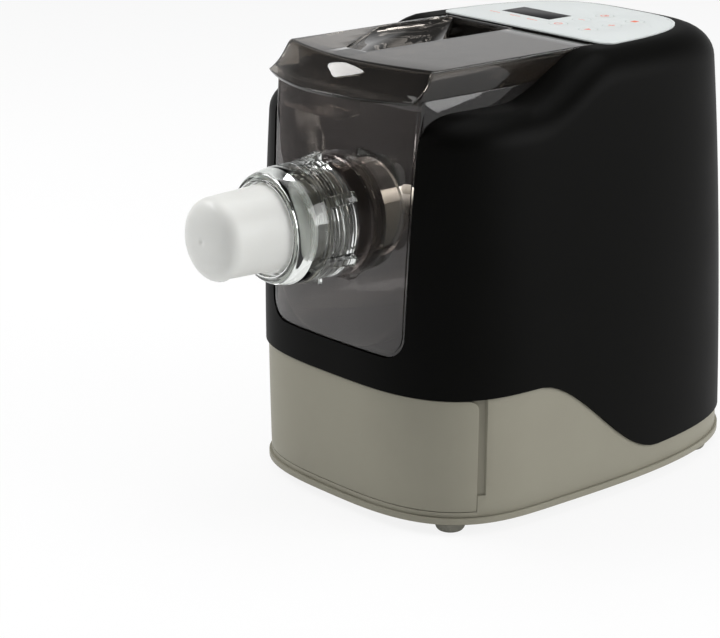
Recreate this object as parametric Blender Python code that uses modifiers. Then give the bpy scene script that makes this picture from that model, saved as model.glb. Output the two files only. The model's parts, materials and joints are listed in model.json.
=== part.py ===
# Electric pasta maker, modelled piece by piece.
# Metres, +Z up, the front with its nozzle faces -Y, and X = 0 is the middle of the machine.
# The origin lies under the middle of the whole machine, at the height of its feet.

import math

import bmesh
import bpy
from mathutils import Matrix, Vector

# Overall sizes
BASE_WIDTH = 0.2114
BASE_LENGTH = 0.3035
NOSE_REACH = 0.0956
HOUSING_TOP = 0.2828

# Clearances and general values
GAP = 0.0003
RUN_GAP = 0.0003
OVERRUN = 0.0100
MERGE = 0.00001
ROUND_STEPS = 28
SMALL_STEPS = 14
OUTLINE_STEPS = 30
ARC_STEPS = 6
WALL_RINGS = 5
SHARP_ANGLE = math.radians(30)

# Places along the machine, counted from the front of the base
Y_NOSE = -(BASE_LENGTH + NOSE_REACH) / 2
Y_FRONT = Y_NOSE + NOSE_REACH
Y_REAR = Y_FRONT + BASE_LENGTH

# Plan outline of the body: a blunt bow in front and a fuller round at the back
FRONT_POWER = 3.05
FRONT_POWER_RISE = 0.71
REAR_POWER = 3.00
REAR_POWER_RISE = 0.60
WIDEST_SHARE = 0.2965
SIDE_LEAN = 0.0073
FRONT_LEAN = 0.0103
REAR_LEAN = 0.0264
SIDE_LEAN_POWER = 3.26
FRONT_LEAN_POWER = 2.2
REAR_LEAN_POWER = 1.13

# Rim, base and the line where the black body meets the grey base
FOOT_HEIGHT = 0.0072
RIM_HEIGHT = 0.0038
PLATE_FLOOR = 0.0022
BASE_WALL = 0.0030
BASE_STEP = 0.0015
SKIRT_HIGH_SHARE = 0.307
SKIRT_LOW = 0.0250
SKIRT_FALL_DEPTH = 0.0778
SKIRT_FALL_LENGTH = 0.1100

# Upper housing
HOUSING_WALL = 0.0030
HOUSING_EDGE = 0.0190
SHOULDER_DROP = 0.0270
SHOULDER_RISE_DEPTH = 0.0788
SHOULDER_RISE_LENGTH = 0.0680

# Bay for the bowl, open in front and above
BAY_FLOOR_SHARE = 0.3812
BAY_SIDE_LOW = 0.0433
BAY_SIDE_HIGH = 0.0377
BAY_CORNER = 0.0150
BAY_DEPTH_SHARE = 0.5166

# Bowl, window, nozzle axis
AXIS_SHARE = 0.6613
BOWL_WALL = 0.0024
BOWL_CLEARANCE = 0.0005
BOWL_DROP = 0.0174
BOWL_CORNER_SHARE = 0.7692
PANEL_WALL = 0.0028
PANEL_CLEARANCE = 0.0004

# Extrusion barrel and what it carries, as lengths in front of the base front
BARREL_BORE = 0.0270
BARREL_WALL = 0.0040
BARREL_SEAT_RADIUS = 0.0326
BARREL_FLANGE_RADIUS = 0.0380
BARREL_FLANGE_DEPTH = 0.0146
BARREL_INNER_DEPTH = 0.0348
BARREL_FRONT_REACH = 0.0335
THREAD_RIDGE = 0.0010
THREAD_PITCH = 0.0060
THREAD_TURNS = 3
RING_RADIUS = 0.0370
RING_FRONT_REACH = 0.0074
COLLAR_RADIUS = 0.0362
COLLAR_BORE = 0.0334
COLLAR_SHOULDER_RADIUS = 0.0331
COLLAR_HOLE = 0.0286
COLLAR_LIP_RADIUS = 0.0305
COLLAR_LIP = 0.0016
COLLAR_REACH = 0.0503
COLLAR_SHOULDER_LENGTH = 0.0080
COLLAR_RIB_RADIUS = 0.0412
COLLAR_RIB_WIDTH = 0.0070
COLLAR_RIB_LENGTH = 0.0200
COLLAR_RIB_COUNT = 6
DIE_FLANGE_RADIUS = 0.0312
DIE_FLANGE = 0.0038
DIE_ROOT_RADIUS = 0.0276
DIE_TIP_RADIUS = 0.0252
DIE_DOME = 0.0135
DIE_DOME_POWER = 2.3
DIE_WALL = 0.0030
DIE_CUT_DROP = 0.0205
DIE_SLOT_LENGTH = 0.0044
DIE_SLOT_WIDTH = 0.0016
DIE_SLOT_PITCH = 0.0048
DIE_SLOT_SIDE = 0.0024
DIE_SLOT_COUNT = 7
DIE_CUT_MARGIN = 0.0010

# Mixing screw
SCREW_CORE = 0.0085
FLIGHT_CLEARANCE = 0.0008
FLIGHT_THICKNESS = 0.0040
FLIGHT_PITCH = 0.0200
FLIGHT_TURN_STEPS = 18
FLIGHT_OVERHANG = 0.0040
SCREW_FRONT_CLEARANCE = 0.0030
ARM_RADIUS = 0.0050
ARM_CLEARANCE = 0.0064
BLADE_LENGTH = 0.0240
BLADE_WIDTH = 0.0160
BLADE_THICKNESS = 0.0070
ARM_DEPTH_SHARES = (0.22, 0.52, 0.80)
ARM_ANGLES = (50.0, -70.0, 170.0)

# Drive: two gear stages from the motor up to the screw
GEAR_MODULE = 0.0012
WHEEL_TEETH = 42
PINION_TEETH = 12
GEAR_WIDTH = 0.0070
GEAR_SIDE_GAP = 0.0015
ADDENDUM_SHARE = 0.88
DEDENDUM_SHARE = 1.25
TOOTH_ROOT_SHARE = 0.56
TOOTH_TIP_SHARE = 0.22
DRIVE_SHAFT_RADIUS = 0.0050
DRIVE_SOCKET = 0.0140
IDLER_PIN_RADIUS = 0.0030
ROTOR_SHAFT_RADIUS = 0.0030
BUSH_WALL = 0.0025
SEAL_RADIUS = 0.0077
SEAL_FLANGE_RADIUS = 0.0110
SEAL_FLANGE = 0.0022
GEARBOX_HALF = 0.0330
GEARBOX_MARGIN = 0.0050
GEARBOX_WALL = 0.0030
GEARBOX_SCREW_RADIUS = 0.0015
GEARBOX_SCREW_HEAD = 0.0028
SCREW_HEAD_HEIGHT = 0.0018

# Motor
STATOR_RADIUS = 0.0310
STATOR_LENGTH = 0.0420
ROTOR_RADIUS = 0.0155
ROTOR_AIR = 0.0008
MOTOR_BRACKET_DEPTH = 0.0090
MOTOR_BRACKET_WALL = 0.0030
MOTOR_BRACKET_RIM = 0.0035
FAN_RADIUS = 0.0240
FAN_HUB = 0.0065
FAN_DISC = 0.0015
FAN_BLADE_LENGTH = 0.0130
FAN_BLADE_HEIGHT = 0.0060
FAN_BLADE_THICKNESS = 0.0016
FAN_BLADES = 8
FAN_CLEARANCE = 0.0020
CRADLE_HALF = 0.0270
CRADLE_WALL = 0.0040
CRADLE_TOP_DROP = 0.0160
CRADLE_END_INSET = 0.0060

# Drawer and its bay in the base
DRAWER_LOW = 0.0144
DRAWER_DROP = 0.0011
DRAWER_WRAP = 0.0362
DRAWER_CORNER = 0.0060
DRAWER_JOINT = 0.0005
TRAY_SIDE = 0.0237
TRAY_LENGTH_SHARE = 0.4119
TRAY_FLOOR = 0.0180
TRAY_HEIGHT_SHARE = 0.1768
TRAY_WALL = 0.0020
RUNNER_CLEARANCE = 0.0004
DRAWER_BAY_WALL = 0.0016
DRAWER_BAY_SETBACK = 0.0400
GROOVE_WIDTH = 0.0048
GROOVE_DEPTH = 0.0016
GROOVE_LOW = 0.0248

# Feet
FOOT_RADIUS = 0.0095
FOOT_PAD_RADIUS = 0.0062
FOOT_STEM_RADIUS = 0.0030
FOOT_STEM = 0.0034
FOOT_SIDE_FRONT = 0.0267
FOOT_SIDE_REAR = 0.0317
FOOT_DEPTH_FRONT = 0.0303
FOOT_REAR_INSET = 0.0527

# Bottom screws and vents
POST_RADIUS = 0.0050
POST_HEIGHT = 0.0150
POST_SIDE_FRONT = 0.0082
POST_SIDE_REAR = 0.0157
POST_DEPTH_FRONT_SHARE = 0.2306
POST_DEPTH_REAR_SHARE = 0.7249
BASE_SCREW_RADIUS = 0.0018
BASE_SCREW_HEAD = 0.0034
BASE_SCREW_LENGTH = 0.0130
VENT_WIDTH = 0.0030
VENT_LENGTH = 0.0360
VENT_PITCH = 0.0080
VENT_COUNT = 7
VENT_REAR_INSET = 0.0585

# Lid
LID_SIDE_CLEARANCE = 0.0008
LID_WALL = 0.0024
LID_SINK = 0.0003
LID_FRONT_DEPTH = 0.0144
LID_BOW = 0.0124
LID_BOW_POWER = 1.7
LID_REAR_CLEARANCE = 0.0006
LID_COLUMNS = 24
LIP_REACH = 0.0190
LIP_MIDDLE_REACH = 0.0075
LIP_DROP = 0.0165
LIP_PROFILE_SHARES = (
    (0.0, 0.0), (0.13, 0.06), (0.25, 0.22), (0.38, 0.44),
    (0.53, 0.64), (0.72, 0.83), (0.88, 0.94), (1.0, 1.0))
SKIRT_TOE = 0.0130
TROUGH_SIDE_MARGIN = 0.0032
TROUGH_RIGHT = 0.0040
TROUGH_FRONT_DEPTH = 0.0335
TROUGH_REAR_MARGIN = 0.0030
TROUGH_CORNER_X = 0.0240
TROUGH_CORNER_SHARE = 0.6059
TROUGH_RIM_FALL = 0.0005
TROUGH_FALL = 0.0042
TROUGH_FLOOR = 0.0026
POUR_FRONT_SHARE = 0.5867
POUR_SIDE_MARGIN = 0.0050
POUR_MARGIN = 0.0016
STRAINER_X = 0.0110
STRAINER_WIDTH = 0.0026
STRAINER_LENGTH = 0.0100
STRAINER_PITCH = 0.0130
STRAINER_COUNT = 4
STRAINER_START_SHARE = 0.3
RAIL_SIDE_MARGIN = 0.0024
RAIL_RIGHT = 0.0040
RAIL_DROP = 0.0395
RAIL_THICKNESS = 0.0025
RAIL_BACK_DEPTH = 0.0290
RAIL_CLEARANCE = 0.0010
RAIL_WEB = 0.0020

# Control panel
FASCIA_INSET = 0.0215
FASCIA_GAP = 0.0016
FASCIA_THICKNESS = 0.0014
FASCIA_RECESS = 0.0009
FASCIA_CORNER = 0.0060
DISPLAY_LEFT = 0.0510
DISPLAY_RIGHT = 0.0065
DISPLAY_FRONT_SHARE = 0.3148
DISPLAY_LENGTH = 0.0205
KEY_RADIUS = 0.0060
KEY_STEM_RADIUS = 0.0025
KEY_THICKNESS = 0.0010
KEY_PROUD = 0.0001
KEY_TRAVEL = 0.0005
KEY_X = (0.0072, 0.0340)
KEY_DEPTH_SHARES = (0.2613, 0.4774, 0.6934)
BOARD_THICKNESS = 0.0016
BOARD_LEFT = 0.0560
BOARD_RIGHT = 0.0480
BOARD_MARGIN = 0.0120
BOARD_DROP = 0.0060
SWITCH_SIDE = 0.0056
SWITCH_HEIGHT = 0.0018
STANDOFF_RADIUS = 0.0030
STANDOFF_MARGIN = 0.0050

# Lid switch and cord gland
LID_SWITCH_SIZE = (0.0160, 0.0062, 0.0110)
LID_SWITCH_X = 0.0480
LID_SWITCH_DROP = 0.0080
GLAND_RISE = 0.0208
GLAND_BORE = 0.0040
GLAND_NECK_RADIUS = 0.0070
GLAND_FLANGE_RADIUS = 0.0100
GLAND_PROUD = 0.0022
GLAND_LENGTH = 0.0090

# Heights and places that follow from the sizes above
SKIRT_HIGH = HOUSING_TOP * SKIRT_HIGH_SHARE
SHOULDER_HEIGHT = HOUSING_TOP - SHOULDER_DROP
BAY_FLOOR = HOUSING_TOP * BAY_FLOOR_SHARE
BAY_HALF_LOW = BASE_WIDTH / 2 - BAY_SIDE_LOW
BAY_HALF_HIGH = BASE_WIDTH / 2 - BAY_SIDE_HIGH
BAY_DEPTH = BASE_LENGTH * BAY_DEPTH_SHARE
AXIS_HEIGHT = HOUSING_TOP * AXIS_SHARE
BOWL_TOP = HOUSING_TOP - BOWL_DROP
BOWL_CORNER = BAY_HALF_LOW * BOWL_CORNER_SHARE
ARM_REACH = BAY_HALF_LOW - ARM_CLEARANCE
DRAWER_HIGH = SKIRT_HIGH - DRAWER_DROP
TRAY_HALF = BASE_WIDTH / 2 - TRAY_SIDE
TRAY_LENGTH = BASE_LENGTH * TRAY_LENGTH_SHARE
TRAY_HEIGHT = HOUSING_TOP * TRAY_HEIGHT_SHARE
FOOT_X_FRONT = BASE_WIDTH / 2 - FOOT_SIDE_FRONT
FOOT_X_REAR = BASE_WIDTH / 2 - FOOT_SIDE_REAR
FOOT_DEPTH_REAR = BASE_LENGTH - FOOT_REAR_INSET
POST_X_FRONT = BASE_WIDTH / 2 - POST_SIDE_FRONT
POST_X_REAR = BASE_WIDTH / 2 - POST_SIDE_REAR
POST_DEPTH_FRONT = BASE_LENGTH * POST_DEPTH_FRONT_SHARE
POST_DEPTH_REAR = BASE_LENGTH * POST_DEPTH_REAR_SHARE
VENT_DEPTH = BASE_LENGTH - VENT_REAR_INSET
LID_HALF = BAY_HALF_HIGH - LID_SIDE_CLEARANCE
LID_TOP = HOUSING_TOP - LID_SINK
TROUGH_LEFT = LID_HALF - TROUGH_SIDE_MARGIN
TROUGH_CORNER_DEPTH = BAY_DEPTH * TROUGH_CORNER_SHARE
POUR_FRONT_DEPTH = BAY_DEPTH * POUR_FRONT_SHARE
POUR_LEFT = TROUGH_LEFT - POUR_SIDE_MARGIN
RAIL_LEFT = BAY_HALF_LOW - RAIL_SIDE_MARGIN
RAIL_HEIGHT = HOUSING_TOP - RAIL_DROP
FASCIA_FRONT_DEPTH = BAY_DEPTH + FASCIA_GAP
FASCIA_LENGTH = BASE_LENGTH - REAR_LEAN - FASCIA_INSET - FASCIA_FRONT_DEPTH
DISPLAY_FRONT_DEPTH = FASCIA_FRONT_DEPTH + FASCIA_LENGTH * DISPLAY_FRONT_SHARE
KEY_DEPTHS = [FASCIA_FRONT_DEPTH + FASCIA_LENGTH * share for share in KEY_DEPTH_SHARES]
GLAND_HEIGHT = SKIRT_LOW + GLAND_RISE
RIM_LOW = FOOT_HEIGHT
RIM_TOP = RIM_LOW + RIM_HEIGHT
BASE_LOW = RIM_TOP + GAP
PLATE_TOP = RIM_LOW + PLATE_FLOOR
Y_BAY = Y_FRONT + BAY_DEPTH
Y_BARREL_FRONT = Y_FRONT - BARREL_FRONT_REACH
Y_BARREL_REAR = Y_FRONT + BARREL_INNER_DEPTH
Y_COLLAR_FRONT = Y_FRONT - COLLAR_REACH
Y_RING_FRONT = Y_FRONT - RING_FRONT_REACH
Y_BOWL_REAR = Y_BAY - BOWL_CLEARANCE
Y_DIE_FLANGE = Y_BARREL_FRONT - GAP
Y_GEARBOX = Y_BAY + HOUSING_WALL + GAP
GEAR_CENTRES = GEAR_MODULE * (WHEEL_TEETH + PINION_TEETH) / 2
IDLER_HEIGHT = AXIS_HEIGHT - GEAR_CENTRES
MOTOR_HEIGHT = IDLER_HEIGHT - GEAR_CENTRES
WHEEL_RADIUS = GEAR_MODULE * WHEEL_TEETH / 2
Y_STAGE_ONE = Y_GEARBOX + GEARBOX_WALL + GEAR_SIDE_GAP
Y_STAGE_TWO = Y_STAGE_ONE + GEAR_WIDTH + GEAR_SIDE_GAP
Y_GEARBOX_BACK = Y_STAGE_TWO + GEAR_WIDTH + GEAR_SIDE_GAP + GEARBOX_WALL
Y_MOTOR = Y_GEARBOX_BACK + GAP
Y_STATOR = Y_MOTOR + MOTOR_BRACKET_DEPTH + GAP
Y_STATOR_REAR = Y_STATOR + STATOR_LENGTH
Y_MOTOR_REAR = Y_STATOR_REAR + GAP + MOTOR_BRACKET_DEPTH
FASCIA_LOW = HOUSING_TOP - FASCIA_RECESS + GAP
FASCIA_TOP = FASCIA_LOW + FASCIA_THICKNESS
KEY_TOP = FASCIA_TOP + KEY_PROUD
BOARD_TOP = HOUSING_TOP - HOUSING_WALL - BOARD_DROP

# Collections and materials
for old_object in list(bpy.data.objects):
    bpy.data.objects.remove(old_object, do_unlink=True)

PARTS = bpy.data.collections.new("pasta_maker")
TOOLS = bpy.data.collections.new("cutters")
bpy.context.scene.collection.children.link(PARTS)
bpy.context.scene.collection.children.link(TOOLS)


def finish(name, colour, roughness, metallic=0.0, alpha=1.0):
    material = bpy.data.materials.new(name)
    material.use_nodes = True
    shader = material.node_tree.nodes["Principled BSDF"]
    shader.inputs["Base Color"].default_value = (*colour, 1.0)
    shader.inputs["Roughness"].default_value = roughness
    shader.inputs["Metallic"].default_value = metallic
    shader.inputs["Alpha"].default_value = alpha
    material.diffuse_color = (*colour, alpha)
    return material


BLACK = finish("black_shell", (0.012, 0.012, 0.010), 0.42)
GREY = finish("warm_grey", (0.29, 0.28, 0.22), 0.45)
SMOKE = finish("smoke_clear", (0.16, 0.145, 0.135), 0.12, alpha=0.45)
CLEAR = finish("clear_plastic", (0.80, 0.82, 0.80), 0.08, alpha=0.35)
MILKY = finish("milky_white", (0.78, 0.78, 0.76), 0.35)
DARK = finish("dark_plastic", (0.03, 0.03, 0.03), 0.45)
RUBBER = finish("dark_rubber", (0.03, 0.03, 0.03), 0.7)
PALE = finish("pale_panel", (0.75, 0.77, 0.77), 0.35)
DISPLAY = finish("display_dark", (0.03, 0.03, 0.035), 0.15)
KEY = finish("key_pad", (0.80, 0.78, 0.76), 0.4)
WHITE = finish("white_nylon", (0.72, 0.71, 0.67), 0.45)
STEEL = finish("steel", (0.55, 0.55, 0.55), 0.35, metallic=1.0)
BRONZE = finish("bronze", (0.60, 0.42, 0.20), 0.4, metallic=1.0)
ZINC = finish("zinc_sheet", (0.60, 0.61, 0.62), 0.45, metallic=1.0)
BOARD = finish("board_green", (0.03, 0.16, 0.07), 0.5)


# Small modelling helpers
def add_object(name, mesh, material=None):
    """Links a mesh as a named part, or as a wire cutter when it has no material."""
    piece = bpy.data.objects.new(name, mesh)
    if material is None:
        TOOLS.objects.link(piece)
        piece.hide_render = True
        piece.display_type = "WIRE"
    else:
        PARTS.objects.link(piece)
        mesh.materials.append(material)
    return piece


def from_bmesh(name, work, material=None, smooth=False):
    bmesh.ops.recalc_face_normals(work, faces=work.faces)
    mesh = bpy.data.meshes.new(name)
    work.to_mesh(mesh)
    work.free()
    if smooth:
        mesh.shade_smooth()
        mesh.set_sharp_from_angle(angle=SHARP_ANGLE)
    return add_object(name, mesh, material)


def combine(piece, tool, operation):
    change = piece.modifiers.new(tool.name, "BOOLEAN")
    change.operation = operation
    change.solver = "EXACT"
    change.object = tool
    return piece


def cut(piece, *tools):
    for tool in tools:
        combine(piece, tool, "DIFFERENCE")
    return piece


def join(piece, *tools):
    for tool in tools:
        combine(piece, tool, "UNION")
    return piece


def keep(piece, tool):
    return combine(piece, tool, "INTERSECT")


def add_box(work, low, high):
    """Adds a box between two corners to a bmesh."""
    size = Vector([abs(far - near) for near, far in zip(low, high)])
    middle = (Vector(high) + Vector(low)) / 2
    place = Matrix.Translation(middle) @ Matrix.Diagonal((*size, 1.0))
    bmesh.ops.create_cube(work, size=1.0, matrix=place)


def box(name, low, high, material=None):
    work = bmesh.new()
    add_box(work, low, high)
    return from_bmesh(name, work, material)


def boxes(name, corners, material=None):
    work = bmesh.new()
    for low, high in corners:
        add_box(work, low, high)
    return from_bmesh(name, work, material)


def add_rod(work, radius, start, end, steps=ROUND_STEPS):
    """Adds a cylinder between two points that differ along one axis."""
    start, end = Vector(start), Vector(end)
    turn = (end - start).to_track_quat("Z", "Y").to_matrix().to_4x4()
    place = Matrix.Translation((start + end) / 2) @ turn
    bmesh.ops.create_cone(
        work, cap_ends=True, segments=steps, radius1=radius, radius2=radius,
        depth=(end - start).length, matrix=place)


def rod(name, radius, start, end, material=None, steps=ROUND_STEPS):
    work = bmesh.new()
    add_rod(work, radius, start, end, steps)
    return from_bmesh(name, work, material, smooth=True)


def rods(name, radius, spans, material=None, steps=SMALL_STEPS):
    work = bmesh.new()
    for start, end in spans:
        add_rod(work, radius, start, end, steps)
    return from_bmesh(name, work, material, smooth=True)


def prism(name, points, shift, material=None):
    """Extrudes a closed outline of 3-D points by a shift."""
    work = bmesh.new()
    face = work.faces.new([work.verts.new(point) for point in points])
    moved = bmesh.ops.extrude_face_region(work, geom=[face])
    corners = [item for item in moved["geom"] if isinstance(item, bmesh.types.BMVert)]
    bmesh.ops.translate(work, verts=corners, vec=shift)
    return from_bmesh(name, work, material)


def turned(name, profile, material=None, place=(0, 0, 0), axis="Y", ring=False, steps=ROUND_STEPS):
    """Turns (radius, length) points round an axis. On +Y or +Z the outer side runs backwards or down."""
    if axis == "Y":
        points = [(radius, along, 0) for radius, along in profile]
    else:
        points = [(radius, 0, along) for radius, along in profile]
    edges = [(index, index + 1) for index in range(len(points) - 1)]
    if ring:
        edges.append((len(points) - 1, 0))
    mesh = bpy.data.meshes.new(name)
    mesh.from_pydata(points, edges, [])
    piece = add_object(name, mesh, material)
    piece.location = place
    turn = piece.modifiers.new("turn", "SCREW")
    turn.axis = axis
    turn.steps = steps
    turn.render_steps = steps
    turn.use_smooth_shade = True
    turn.use_merge_vertices = True
    turn.merge_threshold = MERGE
    return piece


ON_AXIS = (0, 0, AXIS_HEIGHT)


def smooth_step(share):
    share = min(max(share, 0.0), 1.0)
    return share * share * (3 - 2 * share)


# Body form: the plan outline at any height, and lofts made from it
def height_share(height):
    return max((height - RIM_TOP) / (HOUSING_TOP - RIM_TOP), 0.0)


def front_at(height):
    return Y_FRONT + FRONT_LEAN * height_share(height) ** FRONT_LEAN_POWER


def rear_at(height):
    return Y_REAR - REAR_LEAN * height_share(height) ** REAR_LEAN_POWER


def half_at(height):
    return BASE_WIDTH / 2 - SIDE_LEAN * height_share(height) ** SIDE_LEAN_POWER


def outline_point(turn, height, inset):
    """Point of the right half outline, from the front centre at turn 0 to the rear centre at pi."""
    front = front_at(height) + inset
    rear = rear_at(height) - inset
    half = half_at(height) - inset
    widest = front + (rear - front) * WIDEST_SHARE
    power = FRONT_POWER + FRONT_POWER_RISE * height_share(height)
    reach = front - widest
    if turn > math.pi / 2:
        power = REAR_POWER + REAR_POWER_RISE * height_share(height)
        reach = rear - widest
    across = half * max(math.sin(turn), 0.0) ** (2 / power)
    along = widest + reach * abs(math.cos(turn)) ** (2 / power)
    return across, along


def half_width_at(y, height, inset):
    """Distance of the outline from the middle, at a place along the machine."""
    low, high = 0.0, math.pi
    for _ in range(OUTLINE_STEPS):
        turn = (low + high) / 2
        if outline_point(turn, height, inset)[1] < y:
            low = turn
        else:
            high = turn
    return outline_point(turn, height, inset)[0]


def even_turns(count):
    """Turns that space the points evenly round the rim."""
    fine = [math.pi * index / (count * count) for index in range(count * count + 1)]
    points = [Vector(outline_point(turn, RIM_TOP, 0.0)) for turn in fine]
    run = [0.0]
    for before, after in zip(points, points[1:]):
        run.append(run[-1] + (after - before).length)
    turns = []
    place = 0
    for index in range(count + 1):
        goal = run[-1] * index / count
        while place < len(run) - 1 and run[place] < goal:
            place += 1
        turns.append(fine[place])
    return turns


TURNS = even_turns(OUTLINE_STEPS)


def settled_point(turn, inset, level):
    """Finds the outline point whose height follows its own place along the machine."""
    across, along = outline_point(turn, RIM_TOP, inset)
    height = level(along)
    for _ in range(ARC_STEPS):
        across, along = outline_point(turn, height, inset)
        height = level(along)
    return across, along, height


def form_rings(inset, bottom, top, edge, wall_rings, arc_rings):
    """Inset and height rule of each ring of a body loft, from the bottom up."""
    rings = []
    for index in range(wall_rings + 1):
        share = index / wall_rings
        rings.append((inset, lambda y, share=share: bottom(y) + (top(y) - edge - bottom(y)) * share))
    for index in range(1, arc_rings + 1):
        turn = math.pi / 2 * index / arc_rings
        drop = edge * (1 - math.sin(turn))
        rings.append((inset + edge * (1 - math.cos(turn)), lambda y, drop=drop: top(y) - drop))
    return rings


def form(name, inset, bottom, top, edge=0.0, wall_rings=WALL_RINGS, arc_rings=0, material=None):
    """Closed loft of the body outline between two heights that are functions of y."""
    work = bmesh.new()
    loops = []
    for ring_inset, level in form_rings(inset, bottom, top, edge, wall_rings, arc_rings):
        right = [settled_point(turn, ring_inset, level) for turn in TURNS]
        left = [(-x, y, z) for x, y, z in reversed(right[1:-1])]
        loops.append([work.verts.new(point) for point in right + left])
    count = len(loops[0])
    for lower, upper in zip(loops, loops[1:]):
        for index in range(count):
            after = (index + 1) % count
            work.faces.new((lower[index], lower[after], upper[after], upper[index]))
    for loop in (loops[0], loops[-1]):
        for index in range(OUTLINE_STEPS):
            corners = (loop[index], loop[index + 1], loop[-index - 1], loop[-index])
            if index == 0:
                corners = corners[:3]
            if index == OUTLINE_STEPS - 1:
                corners = (loop[index], loop[index + 1], loop[-index])
            work.faces.new(corners)
    return from_bmesh(name, work, material, smooth=True)


def level(height):
    return lambda y: height


def skirt_line(y):
    fall = smooth_step((y - Y_FRONT - SKIRT_FALL_DEPTH) / SKIRT_FALL_LENGTH)
    return SKIRT_HIGH - (SKIRT_HIGH - SKIRT_LOW) * fall


def shoulder_line(y):
    rise = smooth_step((y - Y_FRONT - SHOULDER_RISE_DEPTH) / SHOULDER_RISE_LENGTH)
    return SHOULDER_HEIGHT + (HOUSING_TOP - SHOULDER_HEIGHT) * rise


def bay_half(height):
    share = (height - BAY_FLOOR) / (HOUSING_TOP - BAY_FLOOR)
    return BAY_HALF_LOW + (BAY_HALF_HIGH - BAY_HALF_LOW) * share


def bay_outline(inset, floor, ceiling, corner, y):
    """U-shaped cross-section of the bay, window and bowl, at one place along the machine."""
    right = []
    for index in range(ARC_STEPS + 1):
        turn = math.pi / 2 * index / ARC_STEPS
        side = bay_half(floor + corner) - inset - corner
        right.append((side + corner * math.sin(turn), y, floor + corner - corner * math.cos(turn)))
    right.append((bay_half(ceiling) - inset, y, ceiling))
    left = [(-x, place, z) for x, place, z in reversed(right)]
    return right + left


def bay_block(name, inset, floor, ceiling, corner, y_low, y_high, material=None):
    points = bay_outline(inset, floor, ceiling, corner, y_low)
    return prism(name, points, (0, y_high - y_low, 0), material)


# Base: housing, bottom plate, feet and screws
def corner_places(x_front, depth_front, x_rear, depth_rear):
    places = []
    for x, depth in ((x_front, depth_front), (x_rear, depth_rear)):
        places.append((-x, Y_FRONT + depth))
        places.append((x, Y_FRONT + depth))
    return places


POST_PLACES = corner_places(POST_X_FRONT, POST_DEPTH_FRONT, POST_X_REAR, POST_DEPTH_REAR)
FOOT_PLACES = corner_places(FOOT_X_FRONT, FOOT_DEPTH_FRONT, FOOT_X_REAR, FOOT_DEPTH_REAR)
FOOT_NAMES = ("foot_front_left", "foot_front_right", "foot_rear_left", "foot_rear_right")


def base_form(name, inset, bottom, top, material=None):
    return form(name, inset, bottom, top, wall_rings=2, material=material)


def drawer_outline(name, margin, low, opening=0.0):
    """Side view of the drawer front, with its upper rear corner rounded, through the whole width."""
    near = Y_FRONT - OVERRUN
    far = Y_FRONT + DRAWER_WRAP + margin
    high = DRAWER_HIGH + margin
    points = [(near, high + opening), (near, low), (far, low)]
    for index in range(ARC_STEPS + 1):
        turn = math.pi / 2 * index / ARC_STEPS
        points.append((
            far - DRAWER_CORNER * (1 - math.cos(turn)), high - DRAWER_CORNER * (1 - math.sin(turn))))
    if opening:
        points.append((far - DRAWER_CORNER, high + opening))
    return prism(name, [(-BASE_WIDTH, y, z) for y, z in points], (BASE_WIDTH * 2, 0, 0))


def build_base():
    housing = base_form("base_housing", BASE_STEP, level(BASE_LOW), level(SKIRT_HIGH), GREY)
    skirt = form("skirt_space", 0.0, lambda y: skirt_line(y) - GAP, level(HOUSING_TOP))
    inside = base_form(
        "base_inside", BASE_STEP + BASE_WALL, level(RIM_LOW), level(SKIRT_HIGH + OVERRUN))
    mouth = drawer_outline("drawer_mouth", DRAWER_JOINT, DRAWER_LOW, OVERRUN)
    posts = rods("base_posts", POST_RADIUS, [
        ((x, y, BASE_LOW), (x, y, PLATE_TOP + POST_HEIGHT)) for x, y in POST_PLACES])
    pilots = rods("base_pilots", BASE_SCREW_RADIUS + RUN_GAP, [
        ((x, y, RIM_LOW), (x, y, RIM_LOW + BASE_SCREW_LENGTH + PLATE_FLOOR)) for x, y in POST_PLACES])
    near = Y_FRONT + DRAWER_WRAP - OVERRUN
    far = Y_FRONT + DRAWER_WRAP + DRAWER_JOINT + GROOVE_WIDTH
    grooves = []
    for side in (-1, 1):
        outline = []
        for y in (near, far):
            outline.append((side * (half_width_at(y, DRAWER_LOW, BASE_STEP) - GROOVE_DEPTH), y))
        outline += [(side * BASE_WIDTH, far), (side * BASE_WIDTH, near)]
        grooves.append(prism(
            "drawer_groove", [(x, y, GROOVE_LOW) for x, y in outline], (0, 0, SKIRT_HIGH)))
    cut(housing, inside, skirt, mouth, *grooves)
    join(housing, posts)
    cut(housing, pilots)


def build_bottom_plate():
    plate = base_form("bottom_plate", 0.0, level(RIM_LOW), level(RIM_TOP), GREY)
    hollow = base_form("plate_hollow", BASE_STEP + BASE_WALL, level(PLATE_TOP), level(RIM_TOP + OVERRUN))
    bosses = rods("plate_bosses", POST_RADIUS, [
        ((x, y, PLATE_TOP - PLATE_FLOOR / 2), (x, y, RIM_TOP)) for x, y in POST_PLACES])
    foot_holes = rods("foot_holes", FOOT_STEM_RADIUS + RUN_GAP, [
        ((x, y, RIM_LOW - OVERRUN), (x, y, RIM_TOP)) for x, y in FOOT_PLACES])
    screw_holes = rods("screw_holes", BASE_SCREW_RADIUS + RUN_GAP, [
        ((x, y, RIM_LOW - OVERRUN), (x, y, RIM_TOP + OVERRUN)) for x, y in POST_PLACES])
    first = -VENT_PITCH * (VENT_COUNT - 1) / 2
    vents = []
    for index in range(VENT_COUNT):
        middle = first + VENT_PITCH * index
        y = Y_FRONT + VENT_DEPTH
        vents.append((
            (middle - VENT_WIDTH / 2, y - VENT_LENGTH / 2, RIM_LOW - OVERRUN),
            (middle + VENT_WIDTH / 2, y + VENT_LENGTH / 2, RIM_TOP)))
    cut(plate, hollow)
    join(plate, bosses)
    cut(plate, foot_holes, screw_holes, boxes("bottom_vents", vents))


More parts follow.
